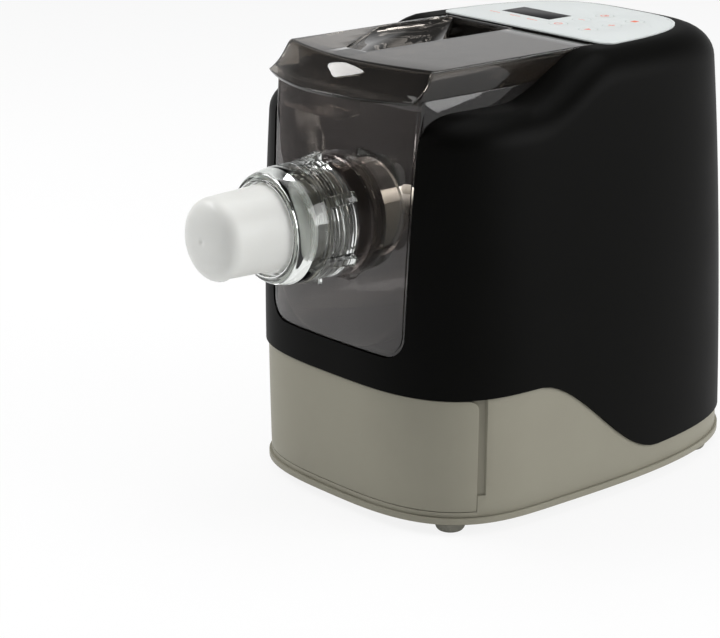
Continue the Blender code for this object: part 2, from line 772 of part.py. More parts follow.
def build_feet():
    shoulder = (FOOT_RADIUS + FOOT_PAD_RADIUS) / 2
    profile = [
        (0, FOOT_HEIGHT + FOOT_STEM), (FOOT_STEM_RADIUS, FOOT_HEIGHT + FOOT_STEM),
        (FOOT_STEM_RADIUS, FOOT_HEIGHT - GAP), (FOOT_RADIUS, FOOT_HEIGHT - GAP),
        (FOOT_RADIUS, FOOT_HEIGHT * 2 / 3), (shoulder, FOOT_HEIGHT / 4),
        (FOOT_PAD_RADIUS, 0), (0, 0)]
    for name, (x, y) in zip(FOOT_NAMES, FOOT_PLACES):
        turned(name, profile, RUBBER, (x, y, 0), axis="Z", steps=SMALL_STEPS)


def build_bottom_screws():
    head_low = RIM_LOW - GAP - SCREW_HEAD_HEIGHT
    for index, (x, y) in enumerate(POST_PLACES):
        profile = [
            (0, head_low + SCREW_HEAD_HEIGHT + BASE_SCREW_LENGTH),
            (BASE_SCREW_RADIUS, head_low + SCREW_HEAD_HEIGHT + BASE_SCREW_LENGTH),
            (BASE_SCREW_RADIUS, head_low + SCREW_HEAD_HEIGHT),
            (BASE_SCREW_HEAD, head_low + SCREW_HEAD_HEIGHT),
            (BASE_SCREW_HEAD, head_low), (0, head_low)]
        turned("bottom_screw_%d" % (index + 1), profile, STEEL, (x, y, 0), axis="Z", steps=SMALL_STEPS)


# Drawer
def build_drawer():
    outer = BASE_STEP
    face = base_form(
        "drawer_front", outer, level(DRAWER_LOW + DRAWER_JOINT), level(DRAWER_HIGH + OVERRUN), GREY)
    inside = base_form(
        "drawer_face_inside", outer + BASE_WALL, level(RIM_LOW), level(DRAWER_HIGH + OVERRUN + OVERRUN))
    cut(face, inside)
    keep(face, drawer_outline("drawer_face_span", 0.0, RIM_LOW))
    tray_outer = outer + BASE_WALL + GAP
    tray_top = TRAY_FLOOR + TRAY_HEIGHT
    tray = base_form("drawer_tray", tray_outer, level(TRAY_FLOOR), level(tray_top), GREY)
    keep(tray, box(
        "tray_span", (-TRAY_HALF, Y_FRONT - OVERRUN, RIM_LOW),
        (TRAY_HALF, Y_FRONT + TRAY_LENGTH, HOUSING_TOP)))
    hollow = base_form(
        "tray_hollow", tray_outer + TRAY_WALL, level(TRAY_FLOOR + TRAY_WALL), level(tray_top + OVERRUN))
    keep(hollow, box(
        "tray_hollow_span", (TRAY_WALL - TRAY_HALF, Y_FRONT - OVERRUN, RIM_LOW),
        (TRAY_HALF - TRAY_WALL, Y_FRONT + TRAY_LENGTH - TRAY_WALL, HOUSING_TOP)))
    cut(tray, hollow)


def build_drawer_bay():
    half = TRAY_HALF + RUNNER_CLEARANCE
    floor = TRAY_FLOOR - GAP
    ceiling = TRAY_FLOOR + TRAY_HEIGHT + RUNNER_CLEARANCE
    near = Y_FRONT + DRAWER_BAY_SETBACK
    far = Y_FRONT + TRAY_LENGTH + RUNNER_CLEARANCE
    wall = DRAWER_BAY_WALL
    bay = box(
        "drawer_bay", (-half - wall, near, PLATE_TOP + GAP), (half + wall, far + wall, ceiling + wall), GREY)
    pocket = box("drawer_pocket", (-half, near - OVERRUN, floor), (half, far, ceiling))
    under = box(
        "drawer_under", (wall - half, near - OVERRUN, RIM_LOW),
        (half - wall, far + wall + OVERRUN, floor - wall))
    cut(bay, pocket, under)


# Upper housing with its bay
def build_upper_housing():
    housing = form(
        "upper_housing", 0.0, skirt_line, shoulder_line,
        edge=HOUSING_EDGE, arc_rings=3, material=BLACK)
    core = form(
        "housing_core", HOUSING_WALL, lambda y: skirt_line(y) - OVERRUN,
        lambda y: shoulder_line(y) - HOUSING_WALL, edge=HOUSING_EDGE - HOUSING_WALL,
        arc_rings=2)
    bay = bay_block(
        "bowl_bay", 0.0, BAY_FLOOR, HOUSING_TOP + OVERRUN, BAY_CORNER, Y_FRONT - OVERRUN, Y_BAY)
    bay_wall = bay_block(
        "bowl_bay_wall", -HOUSING_WALL, BAY_FLOOR - HOUSING_WALL, HOUSING_TOP + OVERRUN + OVERRUN,
        BAY_CORNER + HOUSING_WALL, Y_FRONT - OVERRUN, Y_BAY + HOUSING_WALL)
    cut(core, bay_wall)
    standoffs = rods("board_standoffs", STANDOFF_RADIUS, [
        ((x, y, BOARD_TOP + GAP), (x, y, HOUSING_TOP - FASCIA_RECESS - GAP)) for x, y in standoff_places()])
    cut(housing, bay, core)
    join(housing, standoffs)
    recess = fascia_block("fascia_recess", -GAP, HOUSING_TOP - FASCIA_RECESS, HOUSING_TOP + OVERRUN)
    stems = rods("stem_holes", KEY_STEM_RADIUS + RUN_GAP, [
        ((x, y, BOARD_TOP), (x, y, HOUSING_TOP + OVERRUN)) for x, y in key_places()])
    shaft_hole = rod(
        "shaft_hole", SEAL_RADIUS + GAP,
        (0, Y_BOWL_REAR - OVERRUN, AXIS_HEIGHT), (0, Y_BAY + HOUSING_WALL + OVERRUN, AXIS_HEIGHT))
    gland_hole = rod(
        "gland_hole", GLAND_NECK_RADIUS + GAP,
        (0, Y_REAR - BASE_WALL * ARC_STEPS, GLAND_HEIGHT), (0, Y_REAR + OVERRUN, GLAND_HEIGHT))
    cut(housing, recess, stems, shaft_hole, gland_hole)
    return shaft_hole


# Bowl, window and barrel
def build_bowl(shaft_hole):
    reach = PANEL_WALL + GAP + GAP
    bowl = bay_block(
        "mixing_bowl", BOWL_CLEARANCE, BAY_FLOOR + GAP, BOWL_TOP, BOWL_CORNER,
        Y_FRONT - OVERRUN, Y_BOWL_REAR, SMOKE)
    keep(bowl, form("bowl_front", reach, level(BAY_FLOOR - OVERRUN), level(HOUSING_TOP)))
    hollow = bay_block(
        "bowl_hollow", BOWL_CLEARANCE + BOWL_WALL, BAY_FLOOR + GAP + BOWL_WALL, BOWL_TOP + OVERRUN,
        BOWL_CORNER - BOWL_WALL, Y_FRONT - OVERRUN - OVERRUN, Y_BOWL_REAR - BOWL_WALL)
    cut(bowl, hollow, shaft_hole)


def build_front_panel():
    panel = bay_block(
        "front_panel", PANEL_CLEARANCE, BAY_FLOOR + PANEL_CLEARANCE, BOWL_TOP,
        BAY_CORNER - PANEL_CLEARANCE, Y_FRONT - OVERRUN, Y_FRONT + DRAWER_WRAP, SMOKE)
    keep(panel, form("panel_outside", GAP, level(BAY_FLOOR - OVERRUN), level(HOUSING_TOP)))
    cut(panel, form(
        "panel_inside", GAP + PANEL_WALL, level(BAY_FLOOR - OVERRUN - OVERRUN),
        level(HOUSING_TOP + OVERRUN)))
    cut(panel, rod(
        "panel_hole", BARREL_SEAT_RADIUS + PANEL_CLEARANCE,
        (0, Y_FRONT - OVERRUN, AXIS_HEIGHT), (0, Y_BARREL_REAR, AXIS_HEIGHT)))


def build_barrel():
    outer = BARREL_BORE + BARREL_WALL
    profile = [(outer, Y_BARREL_REAR), (outer, Y_FRONT + BARREL_FLANGE_DEPTH - GAP)]
    profile += [(BARREL_SEAT_RADIUS, Y_FRONT + BARREL_FLANGE_DEPTH - GAP), (BARREL_SEAT_RADIUS, Y_RING_FRONT)]
    profile.append((outer, Y_RING_FRONT))
    for index in range(THREAD_TURNS):
        start = Y_RING_FRONT - THREAD_PITCH * (index + 1)
        profile += [
            (outer, start), (outer + THREAD_RIDGE, start - THREAD_PITCH / 6),
            (outer + THREAD_RIDGE, start - THREAD_PITCH / 3), (outer, start - THREAD_PITCH / 2)]
    profile += [(outer, Y_BARREL_FRONT), (BARREL_BORE, Y_BARREL_FRONT), (BARREL_BORE, Y_BARREL_REAR)]
    barrel = turned("extrusion_barrel", profile, DARK, ON_AXIS, ring=True)
    flange_bore = (BARREL_BORE + outer) / 2
    flange = turned("barrel_flange", [
        (BARREL_FLANGE_RADIUS, Y_FRONT + BARREL_FLANGE_DEPTH), (BARREL_FLANGE_RADIUS, Y_FRONT - OVERRUN),
        (flange_bore, Y_FRONT - OVERRUN), (flange_bore, Y_FRONT + BARREL_FLANGE_DEPTH)],
        place=ON_AXIS, ring=True)
    keep(flange, form(
        "flange_seat", PANEL_WALL + GAP + GAP, level(BAY_FLOOR), level(HOUSING_TOP)))
    join(barrel, flange)
    ring = turned("barrel_ring", [
        (RING_RADIUS, Y_FRONT + BARREL_FLANGE_DEPTH), (RING_RADIUS, Y_RING_FRONT),
        (BARREL_SEAT_RADIUS + GAP, Y_RING_FRONT), (BARREL_SEAT_RADIUS + GAP, Y_FRONT + BARREL_FLANGE_DEPTH)],
        DARK, ON_AXIS, ring=True)
    cut(ring, form("ring_seat", 0.0, level(BAY_FLOOR), level(HOUSING_TOP)))


def build_collar():
    rear = Y_RING_FRONT - GAP
    shoulder = Y_COLLAR_FRONT + COLLAR_SHOULDER_LENGTH
    inner_wall = Y_DIE_FLANGE - DIE_FLANGE - GAP
    profile = [(COLLAR_RADIUS, rear), (COLLAR_RADIUS, shoulder)]
    drop = COLLAR_RADIUS - COLLAR_SHOULDER_RADIUS
    for index in range(1, ARC_STEPS // 2 + 1):
        turn = math.pi / ARC_STEPS * index
        profile.append((
            COLLAR_RADIUS - drop * (1 - math.cos(turn)),
            shoulder - (COLLAR_SHOULDER_LENGTH - COLLAR_LIP) * math.sin(turn)))
    profile += [
        (COLLAR_LIP_RADIUS, Y_COLLAR_FRONT + COLLAR_LIP), (COLLAR_LIP_RADIUS, Y_COLLAR_FRONT),
        (COLLAR_HOLE, Y_COLLAR_FRONT), (COLLAR_HOLE, inner_wall), (COLLAR_BORE, inner_wall)]
    for index in reversed(range(THREAD_TURNS)):
        start = Y_RING_FRONT - THREAD_PITCH * (index + 1) + THREAD_PITCH / 6
        profile += [
            (COLLAR_BORE, start - THREAD_PITCH / 3), (COLLAR_BORE - THREAD_RIDGE, start - THREAD_PITCH / 6),
            (COLLAR_BORE - THREAD_RIDGE, start), (COLLAR_BORE, start + THREAD_PITCH / 6)]
    profile.append((COLLAR_BORE, rear))
    collar = turned("locking_collar", profile, CLEAR, ON_AXIS, ring=True)
    work = bmesh.new()
    root = (COLLAR_RADIUS + COLLAR_BORE) / 2
    for index in range(COLLAR_RIB_COUNT):
        start = len(work.verts)
        add_box(
            work, (root, rear - COLLAR_RIB_LENGTH, -COLLAR_RIB_WIDTH / 2),
            (COLLAR_RIB_RADIUS, rear, COLLAR_RIB_WIDTH / 2))
        work.verts.ensure_lookup_table()
        turn = Matrix.Rotation(math.tau * (index + 0.5) / COLLAR_RIB_COUNT, 4, "Y")
        bmesh.ops.transform(work, matrix=turn, verts=work.verts[start:])
    ribs = from_bmesh("collar_ribs", work)
    ribs.location = ON_AXIS
    join(collar, ribs)


def die_outline(clearance):
    """Outer side of the nozzle from its root to its rounded tip, drawn in by a clearance."""
    root = Y_DIE_FLANGE - DIE_FLANGE
    points = [(DIE_ROOT_RADIUS - clearance, root)]
    dome = Y_NOSE + clearance + DIE_DOME
    for index in range(ARC_STEPS + 2):
        turn = math.pi / 2 * index / (ARC_STEPS + 1)
        across = max(math.cos(turn), 0.0) ** (2 / DIE_DOME_POWER)
        along = math.sin(turn) ** (2 / DIE_DOME_POWER)
        points.append(((DIE_TIP_RADIUS - clearance) * across, dome - DIE_DOME * along))
    return points


def build_die():
    root = Y_DIE_FLANGE - DIE_FLANGE
    inner = die_outline(DIE_WALL)
    throat = [(inner[0][0], Y_DIE_FLANGE), (DIE_FLANGE_RADIUS, Y_DIE_FLANGE), (DIE_FLANGE_RADIUS, root)]
    die = turned("pasta_die", inner[::-1] + throat + die_outline(0.0), MILKY, ON_AXIS)
    cut_top = AXIS_HEIGHT - DIE_CUT_DROP
    run = DIE_SLOT_PITCH * (DIE_SLOT_COUNT - 1) + DIE_SLOT_LENGTH
    cut_near = Y_COLLAR_FRONT - DIE_CUT_MARGIN
    cut_far = cut_near - run - DIE_CUT_MARGIN * 2
    filling = die_outline(DIE_WALL / 2)
    plate = turned("die_plate", [(0, filling[0][1])] + filling, place=ON_AXIS)
    keep(plate, box(
        "die_plate_span", (-BASE_WIDTH, cut_far - DIE_WALL, cut_top - DIE_WALL),
        (BASE_WIDTH, cut_near + DIE_WALL, cut_top + DIE_WALL)))
    under = box(
        "die_under", (-BASE_WIDTH, cut_far, cut_top - BARREL_BORE), (BASE_WIDTH, cut_near, cut_top))
    slots = []
    for index in range(DIE_SLOT_COUNT):
        start = cut_far + DIE_CUT_MARGIN + DIE_SLOT_PITCH * index
        middle = DIE_SLOT_SIDE if index % 2 else -DIE_SLOT_SIDE
        slots.append((
            (middle - DIE_SLOT_WIDTH / 2, start, cut_top - OVERRUN),
            (middle + DIE_SLOT_WIDTH / 2, start + DIE_SLOT_LENGTH, cut_top + OVERRUN)))
    join(die, plate)
    cut(die, under, boxes("die_slots", slots))


# Mixing screw: core, flight and arms
def flight_mesh(name, inner, outer, y_start, y_end):
    """Helical flight with flat ends, swept as a four-sided section."""
    turns = (y_end - y_start - FLIGHT_THICKNESS) / FLIGHT_PITCH
    steps = max(int(turns * FLIGHT_TURN_STEPS), 2)
    work = bmesh.new()
    sections = []
    for index in range(steps + 1):
        share = index / steps
        angle = math.tau * turns * share
        y = y_start + (y_end - y_start - FLIGHT_THICKNESS) * share
        side = Vector((math.cos(angle), 0, math.sin(angle)))
        corners = []
        for radius, shift in ((inner, 0), (outer, 0), (outer, FLIGHT_THICKNESS), (inner, FLIGHT_THICKNESS)):
            corners.append(work.verts.new(side * radius + Vector((0, y + shift, 0))))
        sections.append(corners)
    for before, after in zip(sections, sections[1:]):
        for index in range(4):
            near = (index + 1) % 4
            work.faces.new((before[index], before[near], after[near], after[index]))
    work.faces.new(sections[0])
    work.faces.new(sections[-1])
    flight = from_bmesh(name, work)
    flight.location = ON_AXIS
    return flight


def build_screw():
    front = Y_BARREL_FRONT + SCREW_FRONT_CLEARANCE
    rear = Y_BOWL_REAR - BOWL_WALL - SEAL_FLANGE - GAP - GAP
    screw = turned("mixing_screw", [
        (0, rear), (SCREW_CORE, rear), (SCREW_CORE, front + SCREW_CORE / 2),
        (SCREW_CORE / 2, front), (0, front)], WHITE, ON_AXIS, steps=SMALL_STEPS)
    flight_end = Y_BARREL_REAR + FLIGHT_OVERHANG
    join(screw, flight_mesh(
        "screw_flight", SCREW_CORE / 2, BARREL_BORE - FLIGHT_CLEARANCE, front + SCREW_CORE / 2, flight_end))
    free = rear - Y_BARREL_REAR
    for index, (share, angle) in enumerate(zip(ARM_DEPTH_SHARES, ARM_ANGLES)):
        y = Y_BARREL_REAR + free * share
        work = bmesh.new()
        add_rod(work, ARM_RADIUS, (SCREW_CORE / 2, 0, 0), (ARM_REACH - BLADE_WIDTH / 2, 0, 0), SMALL_STEPS)
        arm = from_bmesh("arm_%d" % (index + 1), work)
        work = bmesh.new()
        add_box(
            work, (ARM_REACH - BLADE_WIDTH, -BLADE_LENGTH / 2, -BLADE_THICKNESS / 2),
            (ARM_REACH, BLADE_LENGTH / 2, BLADE_THICKNESS / 2))
        blade = from_bmesh("blade_%d" % (index + 1), work)
        for tool in (arm, blade):
            tool.location = (0, y, AXIS_HEIGHT)
            tool.rotation_euler = (0, -math.radians(angle), 0)
        join(screw, arm, blade)
    socket = rod(
        "screw_socket", DRIVE_SHAFT_RADIUS + RUN_GAP,
        (0, rear - DRIVE_SOCKET, AXIS_HEIGHT), (0, rear + OVERRUN, AXIS_HEIGHT), steps=SMALL_STEPS)
    cut(screw, socket)
    return rear


# Gears and drive
def gear_blank(name, teeth, y, width, height, tooth_up, material=None):
    """Toothed blank round the Y axis. A tooth is at the top, or otherwise a gap is at the bottom."""
    pitch_radius = GEAR_MODULE * teeth / 2
    tip = pitch_radius + GEAR_MODULE * ADDENDUM_SHARE
    root = pitch_radius - GEAR_MODULE * DEDENDUM_SHARE
    pitch = math.tau / teeth
    first = math.pi / 2 if tooth_up else -math.pi / 2 + pitch / 2
    tooth = (
        (root, -TOOTH_ROOT_SHARE), (tip, -TOOTH_TIP_SHARE), (tip, TOOTH_TIP_SHARE), (root, TOOTH_ROOT_SHARE))
    points = []
    for index in range(teeth):
        middle = first + pitch * index
        for radius, share in tooth:
            angle = middle + pitch * share / 2
            points.append((radius * math.cos(angle), 0, radius * math.sin(angle)))
    blank = prism(name, points, (0, width, 0), material)
    blank.location = (0, y, height)
    return blank


def gear(name, teeth, y, height, bore, material, tooth_up, second=None):
    """Spur gear with its bore. A second blank is joined to it where two gears are one piece."""
    piece = gear_blank(name, teeth, y, GEAR_WIDTH, height, tooth_up, material)
    hole = rod(
        name + "_bore", bore + RUN_GAP, (0, y - OVERRUN, height),
        (0, y + GEAR_WIDTH + OVERRUN + OVERRUN, height), steps=SMALL_STEPS)
    if second:
        join(piece, second)
    return cut(piece, hole)


def build_gears(screw_rear):
    gear("output_gear", WHEEL_TEETH, Y_STAGE_TWO, AXIS_HEIGHT, DRIVE_SHAFT_RADIUS, STEEL, False)
    small = gear_blank(
        "idler_small", PINION_TEETH, Y_STAGE_TWO - GEAR_SIDE_GAP - GAP, GEAR_WIDTH + GEAR_SIDE_GAP,
        IDLER_HEIGHT, True)
    gear("idler_gear", WHEEL_TEETH, Y_STAGE_ONE, IDLER_HEIGHT, IDLER_PIN_RADIUS, WHITE, False, small)
    gear("motor_pinion", PINION_TEETH, Y_STAGE_ONE, MOTOR_HEIGHT, ROTOR_SHAFT_RADIUS, STEEL, True)
    rod("idler_pin", IDLER_PIN_RADIUS, (0, Y_GEARBOX + GEARBOX_WALL / 2 + GAP, IDLER_HEIGHT),
        (0, Y_GEARBOX_BACK - GEARBOX_WALL / 2, IDLER_HEIGHT), STEEL, SMALL_STEPS)
    front = screw_rear - DRIVE_SOCKET + GAP
    rod("drive_shaft", DRIVE_SHAFT_RADIUS, (0, front, AXIS_HEIGHT),
        (0, Y_GEARBOX_BACK, AXIS_HEIGHT), STEEL, SMALL_STEPS)


def gearbox_screw_places():
    low = MOTOR_HEIGHT - WHEEL_RADIUS
    high = AXIS_HEIGHT + WHEEL_RADIUS + GEARBOX_MARGIN
    side = GEARBOX_HALF - GEARBOX_WALL - GEARBOX_SCREW_RADIUS
    return [(x, z) for x in (-side, side) for z in (low, high)]


def build_gearbox():
    low = MOTOR_HEIGHT - WHEEL_RADIUS - GEARBOX_MARGIN
    high = AXIS_HEIGHT + WHEEL_RADIUS + GEARBOX_MARGIN * 2
    plate_back = Y_GEARBOX + GEARBOX_WALL
    bush_radius = DRIVE_SHAFT_RADIUS + BUSH_WALL
    plate = box("gearbox_plate", (-GEARBOX_HALF, Y_GEARBOX, low), (GEARBOX_HALF, plate_back, high), ZINC)
    cup = box(
        "gearbox_cup", (-GEARBOX_HALF, plate_back + GAP, low), (GEARBOX_HALF, Y_GEARBOX_BACK, high), ZINC)
    hollow = box(
        "gearbox_hollow", (GEARBOX_WALL - GEARBOX_HALF, plate_back - OVERRUN, low + GEARBOX_WALL),
        (GEARBOX_HALF - GEARBOX_WALL, Y_GEARBOX_BACK - GEARBOX_WALL, high - GEARBOX_WALL))
    lugs = rods("gearbox_lugs", GEARBOX_SCREW_HEAD, [
        ((x, plate_back + GAP, z), (x, Y_GEARBOX_BACK - GEARBOX_WALL / 2, z))
        for x, z in gearbox_screw_places()])
    cut(cup, hollow)
    join(cup, lugs)
    shaft_holes = rod(
        "gearbox_shaft_holes", bush_radius + GAP,
        (0, Y_GEARBOX - OVERRUN, AXIS_HEIGHT), (0, Y_GEARBOX_BACK + OVERRUN, AXIS_HEIGHT))
    rotor_hole = rod(
        "gearbox_rotor_hole", ROTOR_SHAFT_RADIUS + BUSH_WALL,
        (0, plate_back - OVERRUN / 2 + GEARBOX_WALL, MOTOR_HEIGHT),
        (0, Y_GEARBOX_BACK + OVERRUN, MOTOR_HEIGHT), steps=SMALL_STEPS)
    pin_seats = rod(
        "pin_seats", IDLER_PIN_RADIUS + GAP, (0, Y_GEARBOX + GEARBOX_WALL / 2, IDLER_HEIGHT),
        (0, Y_GEARBOX_BACK - GEARBOX_WALL / 2 + GAP, IDLER_HEIGHT), steps=SMALL_STEPS)
    screw_holes = rods("gearbox_screw_holes", GEARBOX_SCREW_RADIUS + RUN_GAP, [
        ((x, Y_GEARBOX + GEARBOX_WALL / 2, z), (x, Y_GEARBOX_BACK + OVERRUN, z))
        for x, z in gearbox_screw_places()])
    cut(plate, shaft_holes, pin_seats, screw_holes)
    cut(cup, shaft_holes, pin_seats, screw_holes, rotor_hole)
    for index, (x, z) in enumerate(gearbox_screw_places()):
        head = Y_GEARBOX_BACK + GAP + SCREW_HEAD_HEIGHT
        turned("gearbox_screw_%d" % (index + 1), [
            (0, head), (GEARBOX_SCREW_HEAD, head), (GEARBOX_SCREW_HEAD, Y_GEARBOX_BACK + GAP),
            (GEARBOX_SCREW_RADIUS, Y_GEARBOX_BACK + GAP),
            (GEARBOX_SCREW_RADIUS, Y_GEARBOX + GEARBOX_WALL / 2 + GAP),
            (0, Y_GEARBOX + GEARBOX_WALL / 2 + GAP)], STEEL, (x, 0, z), steps=SMALL_STEPS // 2)
    for name, start in (("drive_bush_front", Y_GEARBOX), ("drive_bush_rear", Y_GEARBOX_BACK - GEARBOX_WALL)):
        turned(name, [
            (bush_radius, start + GEARBOX_WALL), (bush_radius, start),
            (DRIVE_SHAFT_RADIUS + RUN_GAP, start), (DRIVE_SHAFT_RADIUS + RUN_GAP, start + GEARBOX_WALL)],
            BRONZE, ON_AXIS, ring=True, steps=SMALL_STEPS)


def build_seal():
    bowl_inside = Y_BOWL_REAR - BOWL_WALL - GAP
    end = Y_BAY + HOUSING_WALL
    turned("shaft_seal", [
        (SEAL_RADIUS, end), (SEAL_RADIUS, bowl_inside), (SEAL_FLANGE_RADIUS, bowl_inside),
        (SEAL_FLANGE_RADIUS, bowl_inside - SEAL_FLANGE),
        (DRIVE_SHAFT_RADIUS + RUN_GAP, bowl_inside - SEAL_FLANGE),
        (DRIVE_SHAFT_RADIUS + RUN_GAP, end)], RUBBER, ON_AXIS, ring=True, steps=SMALL_STEPS)


# Motor
def build_motor():
    place = (0, 0, MOTOR_HEIGHT)
    bush = ROTOR_SHAFT_RADIUS + BUSH_WALL
    shaft = ROTOR_SHAFT_RADIUS
    fan_far = Y_MOTOR_REAR + FAN_CLEARANCE + FAN_DISC + FAN_BLADE_HEIGHT
    turned("motor_rotor", [
        (0, fan_far), (shaft, fan_far), (shaft, Y_STATOR_REAR), (ROTOR_RADIUS, Y_STATOR_REAR),
        (ROTOR_RADIUS, Y_STATOR), (shaft, Y_STATOR), (shaft, Y_STAGE_ONE), (0, Y_STAGE_ONE)],
        STEEL, place, steps=SMALL_STEPS)
    turned("motor_stator", [
        (STATOR_RADIUS, Y_STATOR_REAR), (STATOR_RADIUS, Y_STATOR),
        (ROTOR_RADIUS + ROTOR_AIR, Y_STATOR), (ROTOR_RADIUS + ROTOR_AIR, Y_STATOR_REAR)],
        ZINC, place, ring=True)
    rim = STATOR_RADIUS - MOTOR_BRACKET_RIM
    front = Y_MOTOR
    turned("motor_front_bracket", [
        (STATOR_RADIUS, front + MOTOR_BRACKET_DEPTH), (STATOR_RADIUS, front), (bush + GAP, front),
        (bush + GAP, front + MOTOR_BRACKET_WALL), (rim, front + MOTOR_BRACKET_WALL),
        (rim, front + MOTOR_BRACKET_DEPTH)], ZINC, place, ring=True)
    rear = Y_MOTOR_REAR
    turned("motor_rear_bracket", [
        (STATOR_RADIUS, rear), (STATOR_RADIUS, rear - MOTOR_BRACKET_DEPTH), (rim, rear - MOTOR_BRACKET_DEPTH),
        (rim, rear - MOTOR_BRACKET_WALL), (bush + GAP, rear - MOTOR_BRACKET_WALL), (bush + GAP, rear)],
        ZINC, place, ring=True)
    for name, start in (("motor_bush_front", front), ("motor_bush_rear", rear - MOTOR_BRACKET_WALL)):
        turned(name, [
            (bush, start + MOTOR_BRACKET_WALL), (bush, start),
            (shaft + RUN_GAP, start), (shaft + RUN_GAP, start + MOTOR_BRACKET_WALL)],
            BRONZE, place, ring=True, steps=SMALL_STEPS)
    build_fan(place)


def build_fan(place):
    near = Y_MOTOR_REAR + FAN_CLEARANCE
    disc = near + FAN_DISC
    far = disc + FAN_BLADE_HEIGHT
    fan = turned("cooling_fan", [
        (FAN_HUB, far), (FAN_HUB, disc), (FAN_RADIUS, disc), (FAN_RADIUS, near),
        (ROTOR_SHAFT_RADIUS + RUN_GAP, near), (ROTOR_SHAFT_RADIUS + RUN_GAP, far)],
        WHITE, place, ring=True, steps=ROUND_STEPS)
    work = bmesh.new()
    for index in range(FAN_BLADES):
        start = len(work.verts)
        add_box(
            work, (FAN_RADIUS - FAN_BLADE_LENGTH, disc - FAN_DISC / 2, -FAN_BLADE_THICKNESS / 2),
            (FAN_RADIUS - FAN_BLADE_THICKNESS / 2, far, FAN_BLADE_THICKNESS / 2))
        work.verts.ensure_lookup_table()
        turn = Matrix.Rotation(math.tau * index / FAN_BLADES, 4, "Y")
        bmesh.ops.transform(work, matrix=turn, verts=work.verts[start:])
    blades = from_bmesh("fan_blades", work)
    blades.location = place
    join(fan, blades)


def build_cradle():
    near = Y_STATOR + CRADLE_END_INSET
    far = Y_STATOR_REAR - CRADLE_END_INSET
    top = MOTOR_HEIGHT - CRADLE_TOP_DROP
    cradle = box("motor_cradle", (-CRADLE_HALF, near, PLATE_TOP + GAP), (CRADLE_HALF, far, top), ZINC)
    saddle = rod(
        "cradle_saddle", STATOR_RADIUS + GAP,
        (0, near - OVERRUN, MOTOR_HEIGHT), (0, far + OVERRUN, MOTOR_HEIGHT))
    window = box(
        "cradle_window", (CRADLE_WALL - CRADLE_HALF, near - OVERRUN, PLATE_TOP + GAP + CRADLE_WALL),
        (CRADLE_HALF - CRADLE_WALL, far + OVERRUN, MOTOR_HEIGHT - STATOR_RADIUS - CRADLE_WALL))
    cut(cradle, saddle, window)


# Lid
def lid_front(x):
    """Front edge of the lid's flat top at a distance from the middle."""
    return Y_FRONT + LID_FRONT_DEPTH + LID_BOW * (abs(x) / LID_HALF) ** LID_BOW_POWER


def lip_reach(x):
    return LIP_REACH + LIP_MIDDLE_REACH * (1 - (x / LID_HALF) ** 2)


def lid_sheet():
    """Top plate and flared lip as one sheet, from the rear edge to the tip of the lip."""
    work = bmesh.new()
    rear = Y_BAY - LID_REAR_CLEARANCE
    rows = []
    for index in range(LID_COLUMNS + 1):
        x = LID_HALF * (2 * index / LID_COLUMNS - 1)
        edge = lid_front(x)
        row = [(x, rear, LID_TOP)]
        for out_share, drop_share in LIP_PROFILE_SHARES:
            row.append((x, edge - lip_reach(x) * out_share, LID_TOP - LIP_DROP * drop_share))
        rows.append([work.verts.new(point) for point in row])
    for before, after in zip(rows, rows[1:]):
        for index in range(len(before) - 1):
            work.faces.new((before[index], before[index + 1], after[index + 1], after[index]))
    lid = from_bmesh("lid", work, SMOKE)
    wall = lid.modifiers.new("wall", "SOLIDIFY")
    wall.thickness = LID_WALL
    wall.offset = lid_offset(lid)
    wall.use_even_offset = True
    return lid


def lid_offset(lid):
    """Thickens the sheet downwards, whichever way its faces were left pointing."""
    return -1.0 if lid.data.polygons[0].normal.z > 0 else 1.0


def lid_skirts():
    rear = Y_BAY - LID_REAR_CLEARANCE
    edge = lid_front(LID_HALF)
    low = BOWL_TOP + GAP
    wall_root = LID_TOP - LID_WALL / 2
    side = [(rear, wall_root), (rear, low), (edge - SKIRT_TOE, low)]
    for out_share, drop_share in reversed(LIP_PROFILE_SHARES[:5]):
        side.append((
            edge - LIP_REACH * out_share + LID_WALL / 2, LID_TOP - LIP_DROP * drop_share - LID_WALL / 2))
    skirts = []
    for x in (-LID_HALF, LID_HALF - LID_WALL):
        points = [(x, y, z) for y, z in side]
        skirts.append(prism("lid_skirt_%s" % ("left" if x < 0 else "right"), points, (LID_WALL, 0, 0)))
    skirts.append(box("lid_skirt_rear", (-LID_HALF, rear - LID_WALL, low), (LID_HALF, rear, wall_root)))
    return skirts


def trough_outline(margin):
    rear = Y_BAY - LID_REAR_CLEARANCE - TROUGH_REAR_MARGIN
    front = Y_FRONT + TROUGH_FRONT_DEPTH
    return [
        (-TROUGH_RIGHT + margin, front - margin), (-TROUGH_RIGHT + margin, rear + margin),
        (-TROUGH_LEFT - margin, rear + margin), (-TROUGH_LEFT - margin, Y_FRONT + TROUGH_CORNER_DEPTH - margin),
        (-TROUGH_CORNER_X - margin, front - margin)]


def trough_floor(x):
    share = (x + TROUGH_LEFT) / (TROUGH_LEFT - TROUGH_RIGHT)
    return LID_TOP - TROUGH_RIM_FALL - TROUGH_FALL * share


def sloped_prism(name, outline, floor, ceiling, material=None):
    """Prism over a plan outline whose floor height is a function of x."""
    work = bmesh.new()
    low = [work.verts.new((x, y, floor(x))) for x, y in outline]
    high = [work.verts.new((x, y, ceiling)) for x, y in outline]
    count = len(outline)
    for index in range(count):
        after = (index + 1) % count
        work.faces.new((low[index], low[after], high[after], high[index]))
    work.faces.new(low)
    work.faces.new(high)
    return from_bmesh(name, work, material)


